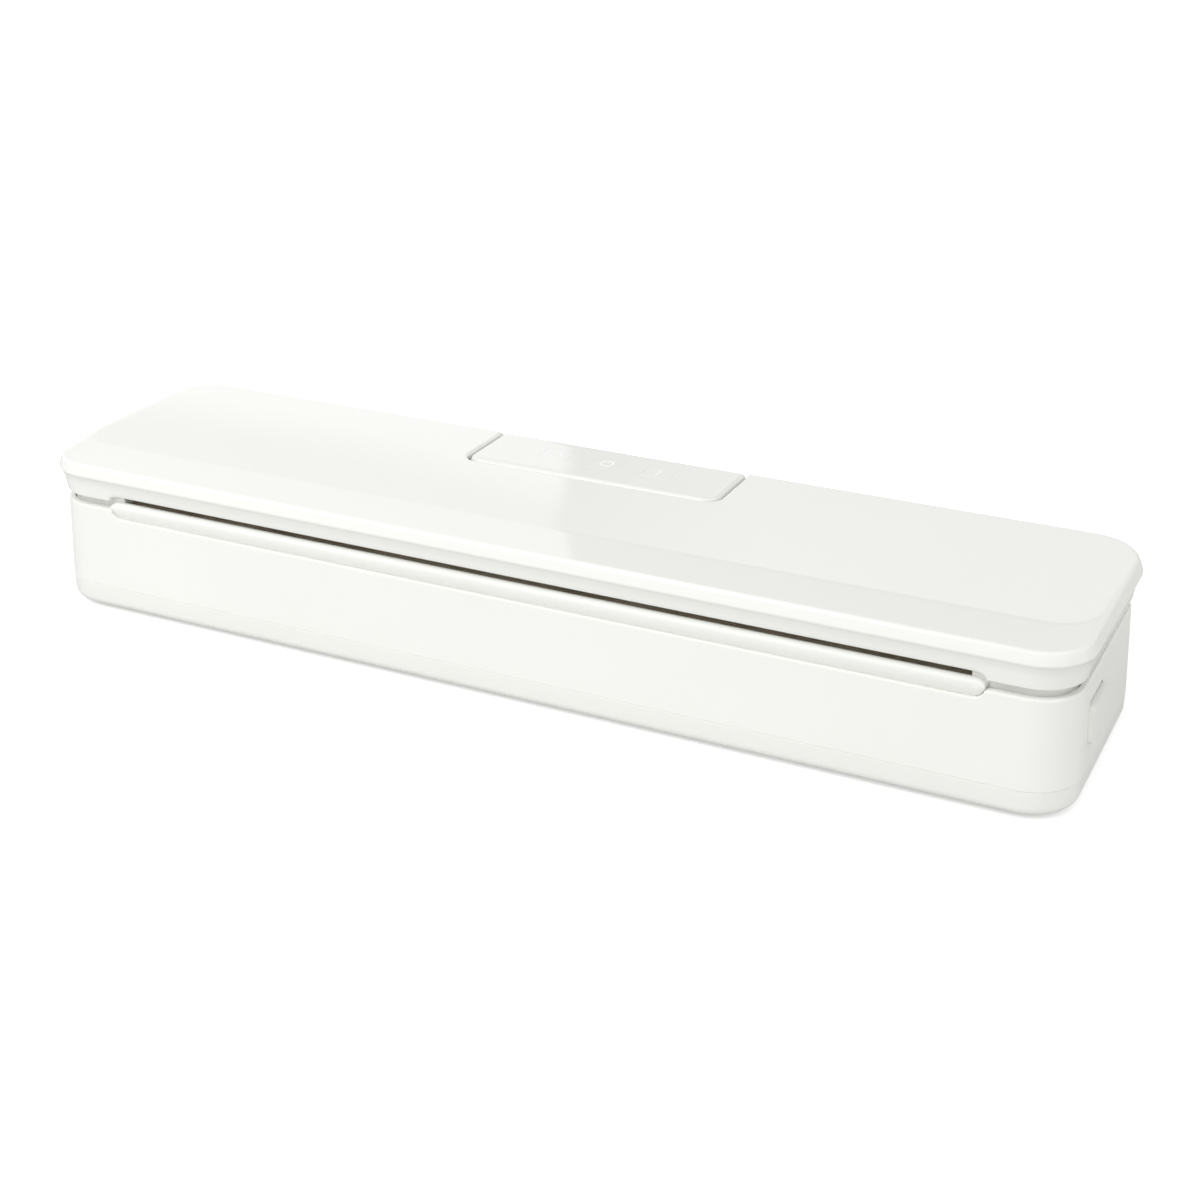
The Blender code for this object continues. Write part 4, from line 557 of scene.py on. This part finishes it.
def notch_tool():
    """The cutter for the lid's notch round the pod, which leans away at the front and flares at the top."""
    corner = POD_CORNER + POD_GROOVE
    profile = [(0.0, RIM), (0.0, CEILING)]
    for i in range(EASE_STEPS + 1):
        angle = NOTCH_SWEEP * i / EASE_STEPS
        grow = NOTCH_EASE * (1 - math.cos(angle))
        profile.append((grow, TOP - NOTCH_EASE + NOTCH_EASE * math.sin(angle)))
    profile.append((2 * NOTCH_EASE, TOP + NOTCH_EASE / 2))
    rings = []
    for grow, height in profile:
        lean = NOTCH_TAPER * min((TOP - height) / (TOP - CEILING), 1.0)
        front = POD_LOW.y - POD_GROOVE - lean - grow
        behind = BEHIND + 2 * corner
        rings.append(raised(small_outline(NOTCH_HALF + grow, front, behind, corner + grow), height))
    return skin("notch", rings)


def base_mouth():
    """The base's upper edge along the front: it rolls over and follows the lip's round end to its foot."""
    centre = MOUTH_HALF - MOUTH_DROP
    turn = math.asin((RIM_DROP + MOUTH_EASE) / MOUTH_DROP)
    edge = centre + MOUTH_DROP * math.cos(turn)
    path = arc((edge + MOUTH_EASE, RIM_LEVEL - MOUTH_EASE), MOUTH_EASE, 90, 180, SMALL_STEPS)
    path += arc((centre, RIM), MOUTH_DROP, -math.degrees(turn), -90, 2 * SMALL_STEPS)[1:]
    return both_ends(path)


def wall_outline(mouth, depth):
    """The base's outline at its upper edge, at a depth in from its sloping outer face."""
    points = lid_outline(OVERHANG + depth, [x for x, _ in mouth])
    slope = FLARE / (RIM_LEVEL - SHELL_LOW.z)
    dropped = [(x, FRONT + OVERHANG + depth - slope * (RIM_LEVEL - z)) for x, z in mouth]
    return dropped + points[len(mouth):]


def rim_rings(mouth):
    """Rings over the base's upper edge, which is well rounded except along the mouth."""
    outer = wall_outline(mouth, 0.0)
    inner = wall_outline(mouth, WALL)
    heights = [z for _, z in mouth] + [RIM_LEVEL] * (len(outer) - len(mouth))
    rings = []
    for across, up in arc((0.0, 0.0), 1.0, 0, 90, EASE_STEPS):
        ring = []
        for start, end, height in zip(outer, inner, heights):
            level = max(1 - (RIM_LEVEL - height) / MOUTH_EASE, 0.0)
            depth = MOUTH_ROUND + (RIM_ROUND - MOUTH_ROUND) * level
            fall = MOUTH_ROUND + (RIM_FALL - MOUTH_ROUND) * level
            place = Vector(start).lerp(Vector(end), depth * (1 - across) / WALL)
            ring.append((*place, height - fall * (1 - up)))
        rings.append(ring)
    return rings + [raised(inner, heights)]


def build_base():
    """The base's satin outer wall, with its rounded rim, its mouth and its windows."""
    mouth = base_mouth()
    stops = [x for x, _ in mouth]
    low = SHELL_LOW.z
    rings = [raised(lid_outline(OVERHANG - FLARE, stops), low)]
    rings += rim_rings(mouth)
    rings.append(raised(lid_outline(OVERHANG + WALL - FLARE, stops), low))
    shell = skin("base_cover", rings, loop=True)
    for side, _ in SIDES:
        _, bracket_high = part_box(f"hinge_bracket_{side}")
        axis_y, axis_z = hinge_axis(side)
        carve(shell, hinge_bay(side, axis_z - (bracket_high.y - axis_y) - KNUCKLE_GAP, ABOVE))
    window_low = (INLET_LOW.x + INLET_FLANGE, INLET_LOW.y, INLET_LOW.z + INLET_FLANGE)
    window_high = (INLET_HIGH.x - INLET_FLANGE, BEHIND, INLET_HIGH.z - INLET_FLANGE)
    carve(shell, box("inlet_window", window_low, window_high))
    soften(shell, BASE_EASE)
    for side, across in SIDES:
        carve(shell, button_window(side, across))
    dress(shell, "base", "satin_white", "base_shell")


def button_window(side, across):
    """The cutter for one release button's window, which leaves a shadow gap above the button."""
    half = BUTTON_LENGTH / 2 + WINDOW_GAP
    tall = BUTTON_HEIGHT / 2 + WINDOW_GAP
    profile = small_outline(half, -tall, tall + WINDOW_RISE, BUTTON_CORNER + WINDOW_GAP)
    inner = LID_HALF - OVERHANG - 2 * WALL
    rings = []
    for x in (inner, LID_HALF + WALL):
        rings.append([(across * x, BUTTON_Y + y, BUTTON_Z + z) for y, z in profile])
    return skin(f"button_window_{side}", rings)


def build_pan():
    """The bottom pan, with a rounded foot and recesses for its feet and screws."""
    inset = OVERHANG - FLARE
    rings = [raised(lid_outline(inset + PAN_ROUND), PAN_LOW.z)]
    for i in range(1, EASE_STEPS + 1):
        angle = math.pi / 2 * i / EASE_STEPS
        drawn_in = inset + PAN_ROUND * (1 - math.sin(angle))
        rings.append(raised(lid_outline(drawn_in), PAN_LOW.z + PAN_ROUND * (1 - math.cos(angle))))
    top = SHELL_LOW.z - SEAM
    floor = PAN_LOW.z + WALL
    rings.append(raised(lid_outline(inset), top - PAN_EASE))
    rings.append(raised(lid_outline(inset + PAN_EASE), top))
    rings.append(raised(lid_outline(inset + WALL), top))
    rings.append(raised(lid_outline(inset + WALL), floor))
    pan = skin("pan_cover", rings)
    for node in frame["nodes"]:
        if node.startswith(("pan_screw", "foot")):
            low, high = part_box(node)
            depth = min(high.z, floor - RECESS_GAP)
            radius = (high.x - low.x) / 2 + RECESS_GAP
            carve(pan, post("recess", middle_of(node), -WALL, depth, radius))
    # The pan takes the darker copy of the satin white, which paints the floor's shade onto it.
    dress(pan, "base", "satin_white", "bottom_pan", look="pan_white")


def pod_outline(inset):
    """The control pod's outline, drawn in by a distance all round."""
    corners = (POD_CORNER - inset, max(POD_BACK_CORNER - inset, POD_LEAST_CORNER))
    half = POD_HIGH.x - inset
    return outline(half, POD_LOW.y + inset, POD_HIGH.y - inset, *corners, steps=SMALL_STEPS)


def key_outline(middle, margin):
    """A key's round-cornered outline round its middle, grown by a margin."""
    half = KEY_DEPTH / 2 + margin
    points = small_outline(KEY_WIDTH / 2 + margin, -half, half, KEY_CORNER + margin)
    return shifted(points, middle)


def build_pod():
    """The fixed control pod at the back, with windows for its three keys."""
    rings = [
        raised(pod_outline(0.0), POD_LOW.z),
        raised(pod_outline(0.0), TOP),
        raised(pod_outline(POD_FLAT), TOP),
    ]
    pod = skin("pod_cover", eased(rings, [0, POD_EASE, 0]))
    carve(pod, prism("hollow", pod_outline(POD_WALL), POD_LOW.z - WALL, TOP - POD_ROOF))
    for node in ("key_left", "key_middle", "key_right"):
        carve(pod, prism("window", key_outline(middle_of(node), KEY_GAP), POD_LOW.z, ABOVE))
    # The pod takes the darker copy of the gloss white, which paints shade onto it.
    dress(pod, "base", "gloss_white", "control_pod", look="pod_white")


def build_key(node, body):
    """One key: a cap with a retaining flange under the pod's roof and a stem over its switch."""
    low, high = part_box(node)
    middle = middle_of(node)
    flange_top = TOP - POD_ROOF - KEY_FLANGE_GAP
    flange_low = flange_top - KEY_FLANGE
    radius = KEY_STEM_RADIUS
    stem = shifted(small_outline(radius, -radius, radius, radius), middle)
    rings = [
        raised(stem, low.z),
        raised(stem, flange_low),
        raised(key_outline(middle, KEY_FLANGE), flange_low),
        raised(key_outline(middle, KEY_FLANGE), flange_top),
        raised(key_outline(middle, 0.0), flange_top),
        raised(key_outline(middle, 0.0), high.z - MARK_RISE),
        raised(key_outline(middle, -KEY_RIM), high.z - MARK_RISE),
    ]
    key = skin(node + "_cap", eased(rings, [0, 0, 0, 0, 0, KEY_EASE, 0]))
    dress(key, body, "key_white", node)
    return middle, high.z


def build_keys():
    """The three keys and their plain marks: a ring of dots, a ring and a bar."""
    middle, top = build_key("key_left", "left_key")
    for i in range(DOT_COUNT):
        angle = 2 * math.pi * i / DOT_COUNT
        place = (middle[0] + DOT_ORBIT * math.cos(angle), middle[1] + DOT_ORBIT * math.sin(angle))
        dot = post(f"mark_dot_{i + 1}", place, top - 2 * MARK_RISE, top, DOT_RADIUS)
        dress(dot, "left_key", "key_white", look="mark_white")
    middle, top = build_key("key_middle", "middle_key")
    outer = arc(middle, RING_RADIUS, 0, 360, ROUND_SIDES)[:-1]
    inner = arc(middle, RING_RADIUS - RING_WIDTH, 0, 360, ROUND_SIDES)[:-1]
    low = top - 2 * MARK_RISE
    rings = [raised(outer, low), raised(outer, top), raised(inner, top), raised(inner, low)]
    dress(skin("mark_ring", rings, loop=True), "middle_key", "key_white", look="mark_white")
    middle, top = build_key("key_right", "right_key")
    half = BAR_WIDTH / 2
    bar = shifted(small_outline(half, -BAR_LENGTH / 2, BAR_LENGTH / 2, half), middle)
    dress(prism("mark_bar", bar, top - 2 * MARK_RISE, top), "right_key", "key_white", look="mark_white")


def build_screw(node):
    """A screw with a cross recess in its head."""
    low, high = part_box(node)
    middle = Vector(middle_of(node))
    face = high.z if node.startswith("hinge") else low.z
    tools = []
    for across, along in ((CROSS_LENGTH, CROSS_WIDTH), (CROSS_WIDTH, CROSS_LENGTH)):
        half = Vector((across / 2, along / 2))
        corner = (*(middle - half), face - CROSS_DEPTH)
        tools.append(box("cross", corner, (*(middle + half), face + CROSS_DEPTH)))
    refine(node, SCREW_EASE, tools, segments=SMALL_SEGMENTS)


def build_small_pieces():
    """The pieces whose modelled shape only needs rounded edges."""
    for node in list(frame["nodes"]):
        if "screw" in node:
            build_screw(node)
        elif node.startswith("foot"):
            refine(node, FOOT_EASE)
        elif node.endswith("gasket"):
            refine(node, FOAM_EASE, segments=FOAM_SEGMENTS)
        elif node.startswith("release_button"):
            refine(node, BUTTON_EASE)
        elif node.startswith(("hinge", "latch", "lid_liner", "mains_inlet", "inlet_pin", "seal_bar")):
            refine(node, SMALL_EASE, segments=SMALL_SEGMENTS)
        elif node == "pressure_strip":
            refine(node, SMALL_EASE)
        elif node == "top_deck":
            refine(node, 0.0, [deck_groove()])
        elif node in ("heater_strip", "seal_tape"):
            refine(node, 0.0)


def deck_groove():
    """The cutter for a shadow groove round the inner deck's front corners, behind the gap under the lid."""
    outer = lid_outline(OVERHANG + WALL / 2)
    inner = lid_outline(OVERHANG + WALL + RECESS_GAP + GROOVE_DEPTH)
    low = RIM - GROOVE_LOW
    high = RIM + GROOVE_HIGH
    rings = [raised(outer, low), raised(outer, high), raised(inner, high), raised(inner, low)]
    groove = skin("deck_groove", rings, loop=True)
    carve(groove, box("lip_space", (-MOUTH_HALF, FRONT, low - WALL), (MOUTH_HALF, 0.0, high + WALL)))
    carve(groove, box("back_space", (-LID_HALF, 0.0, low - WALL), (LID_HALF, BEHIND, high + WALL)))
    settle(groove)
    return groove


def dress_hidden_nodes():
    """Gives the nodes that keep their own shape the finishes made here."""
    for node in frame["nodes"].values():
        for i, material in enumerate(node.data.materials):
            node.data.materials[i] = FINISHES[material.name]


def set_camera():
    """The camera at the photograph's place, angle and focal length."""
    data = bpy.data.cameras.new("camera")
    data.sensor_width = SENSOR
    data.lens = SENSOR * FOCAL_PIXELS / PHOTO_PIXELS
    data.clip_start = CLIP_NEAR
    data.clip_end = CLIP_FAR
    camera = placed("camera", data)
    flat = math.cos(CAMERA_ELEVATION)
    heading = Vector(
        (-math.sin(CAMERA_AZIMUTH) * flat, math.cos(CAMERA_AZIMUTH) * flat, -math.sin(CAMERA_ELEVATION))
    )
    camera.location = CAMERA_PLACE
    camera.rotation_euler = heading.to_track_quat("-Z", "Y").to_euler()
    bpy.context.scene.camera = camera


# Studio floor, soft sky and lamp
FLOOR_HALF = 8.0
FLOOR_SEEN = (0.93, 0.93, 0.92, 1.0)
FLOOR_BOUNCE = (0.72, 0.72, 0.71, 1.0)
FLOOR_LIFT = 0.38
WHITE = (1.0, 1.0, 1.0, 1.0)
SKY_EVEN = 0.59
SKY_SLOPE = (0.37, -0.32, 0.26)
LAMP_PLACE = (-0.627, -0.965, 1.112)
LAMP_SIZE = 0.95
LAMP_POWER = 9.0

# What the gloss mirrors, by direction: azimuths from +Y in radians, and heights as the Z of the direction
PANEL_EDGE_LOW = -0.466
PANEL_EDGE_HIGH = -0.520
PANEL_BLUR_LOW = 0.006
PANEL_BLUR_HIGH = 0.003
REFLECTED_LOW = 0.355
REFLECTED_HIGH = 0.552
TOP_REFLECTS = 0.42
FACET_REFLECTS = 0.49
TOP_LEAN = -0.30
TOP_FAR = 0.492
TOP_NEAR = 0.510
BRIGHT_FAR = 1.34
BRIGHT_NEAR = 0.97
BRIGHT_HIGH = 1.00
DIM_START = -0.46
DIM_END = -0.36
DIM_LEFT = 0.64
DIM_RIGHT = 0.95
DIM_HIGH = 0.10
FRONT_LEVEL = 0.45
FRONT_BLUR = 0.10


def set_floor():
    """A plain pale floor that keeps the object's shadow and is lifted to white for the camera."""
    half = FLOOR_HALF
    corners = [(-half, -half), (half, -half), (half, half), (-half, half)]
    mesh = bpy.data.meshes.new("floor")
    mesh.from_pydata(raised(corners, 0.0), [], [(0, 1, 2, 3)])
    floor = placed("floor", mesh)
    made = bpy.data.materials.new("floor")
    made.use_nodes = True
    tree = made.node_tree
    tree.nodes.clear()
    add = nodes_of(tree)
    seen = add("LightPath").outputs["Is Camera Ray"]
    colour = add("Mix", {0: seen, 6: FLOOR_BOUNCE, 7: FLOOR_SEEN}, data_type="RGBA").outputs[2]
    matt = add("BsdfDiffuse", {"Color": colour}).outputs[0]
    strength = add("Math", {0: seen, 1: FLOOR_LIFT}, operation="MULTIPLY").outputs[0]
    glow = add("Emission", {"Color": WHITE, "Strength": strength}).outputs[0]
    both = add("AddShader", {0: matt, 1: glow}).outputs[0]
    add("OutputMaterial", {"Surface": both})
    mesh.materials.append(made)


def set_lamps():
    """One large soft lamp at the front left."""
    data = bpy.data.lights.new("key", "AREA")
    data.shape = "DISK"
    data.size = LAMP_SIZE
    data.energy = LAMP_POWER
    lamp = placed("key", data)
    lamp.location = LAMP_PLACE
    lamp.rotation_euler = (-Vector(LAMP_PLACE)).to_track_quat("-Z", "Y").to_euler()


def mapped(add, value, ends, results, **settings):
    """A value's place between two ends, carried over to between two results."""
    inputs = {"Value": value}
    for name, pair in (("From", ends), ("To", results)):
        inputs[name + " Min"], inputs[name + " Max"] = pair
    return add("MapRange", inputs, **settings).outputs["Result"]


def worked(add, operation, *values):
    """The result of an operation on two or three values."""
    return add("Math", dict(enumerate(values)), operation=operation).outputs[0]


def reflected(add, way):
    """What the gloss mirrors: a bright panel at the back left, dimmer surroundings and an even front."""
    height = way["Z"]
    azimuth = worked(add, "ARCTAN2", way["X"], way["Y"])
    heights = (REFLECTED_LOW, REFLECTED_HIGH)
    edge = mapped(add, height, heights, (PANEL_EDGE_LOW, PANEL_EDGE_HIGH))
    blur = mapped(add, height, heights, (PANEL_BLUR_LOW, PANEL_BLUR_HIGH))
    start = worked(add, "SUBTRACT", edge, blur)
    end = worked(add, "ADD", edge, blur)
    leaning = worked(add, "MULTIPLY_ADD", way["X"], TOP_LEAN, height)
    bright = mapped(add, leaning, (TOP_FAR, TOP_NEAR), (BRIGHT_FAR, BRIGHT_NEAR))
    dim = mapped(add, azimuth, (DIM_START, DIM_END), (DIM_LEFT, DIM_RIGHT))
    heights = (TOP_REFLECTS, FACET_REFLECTS)
    bright = mapped(add, height, heights, (bright, BRIGHT_HIGH))
    dim = mapped(add, height, heights, (dim, DIM_HIGH))
    panel = mapped(add, azimuth, (start, end), (bright, dim), interpolation_type="SMOOTHSTEP")
    behind = mapped(add, way["Y"], (-FRONT_BLUR, FRONT_BLUR), (0.0, 1.0))
    return add("Mix", {0: behind, 2: FRONT_LEVEL, 3: panel}).outputs[0]


def set_sky():
    """A white backdrop for the camera, a soft sky for the light, and a panel for reflections."""
    world = bpy.data.worlds.new("studio")
    bpy.context.scene.world = world
    world.use_nodes = True
    tree = world.node_tree
    tree.nodes.clear()
    add = nodes_of(tree)
    way = add("SeparateXYZ", {0: add("TexCoord").outputs["Generated"]}).outputs
    soft = SKY_EVEN
    for axis, slope in zip("XYZ", SKY_SLOPE):
        soft = worked(add, "MULTIPLY_ADD", way[axis], slope, soft)
    rays = add("LightPath").outputs
    around = add("Mix", {0: rays["Is Glossy Ray"], 2: soft, 3: reflected(add, way)}).outputs[0]
    strength = add("Mix", {0: rays["Is Camera Ray"], 2: around, 3: 1.0}).outputs[0]
    light = add("Background", {"Color": WHITE, "Strength": strength}).outputs[0]
    add("OutputWorld", {"Surface": light})


set_camera()
build_lid()
build_base()
build_pan()
build_pod()
build_keys()
build_small_pieces()
dress_hidden_nodes()
set_floor()
set_lamps()
set_sky()
bpy.context.scene.view_settings.view_transform = "Standard"
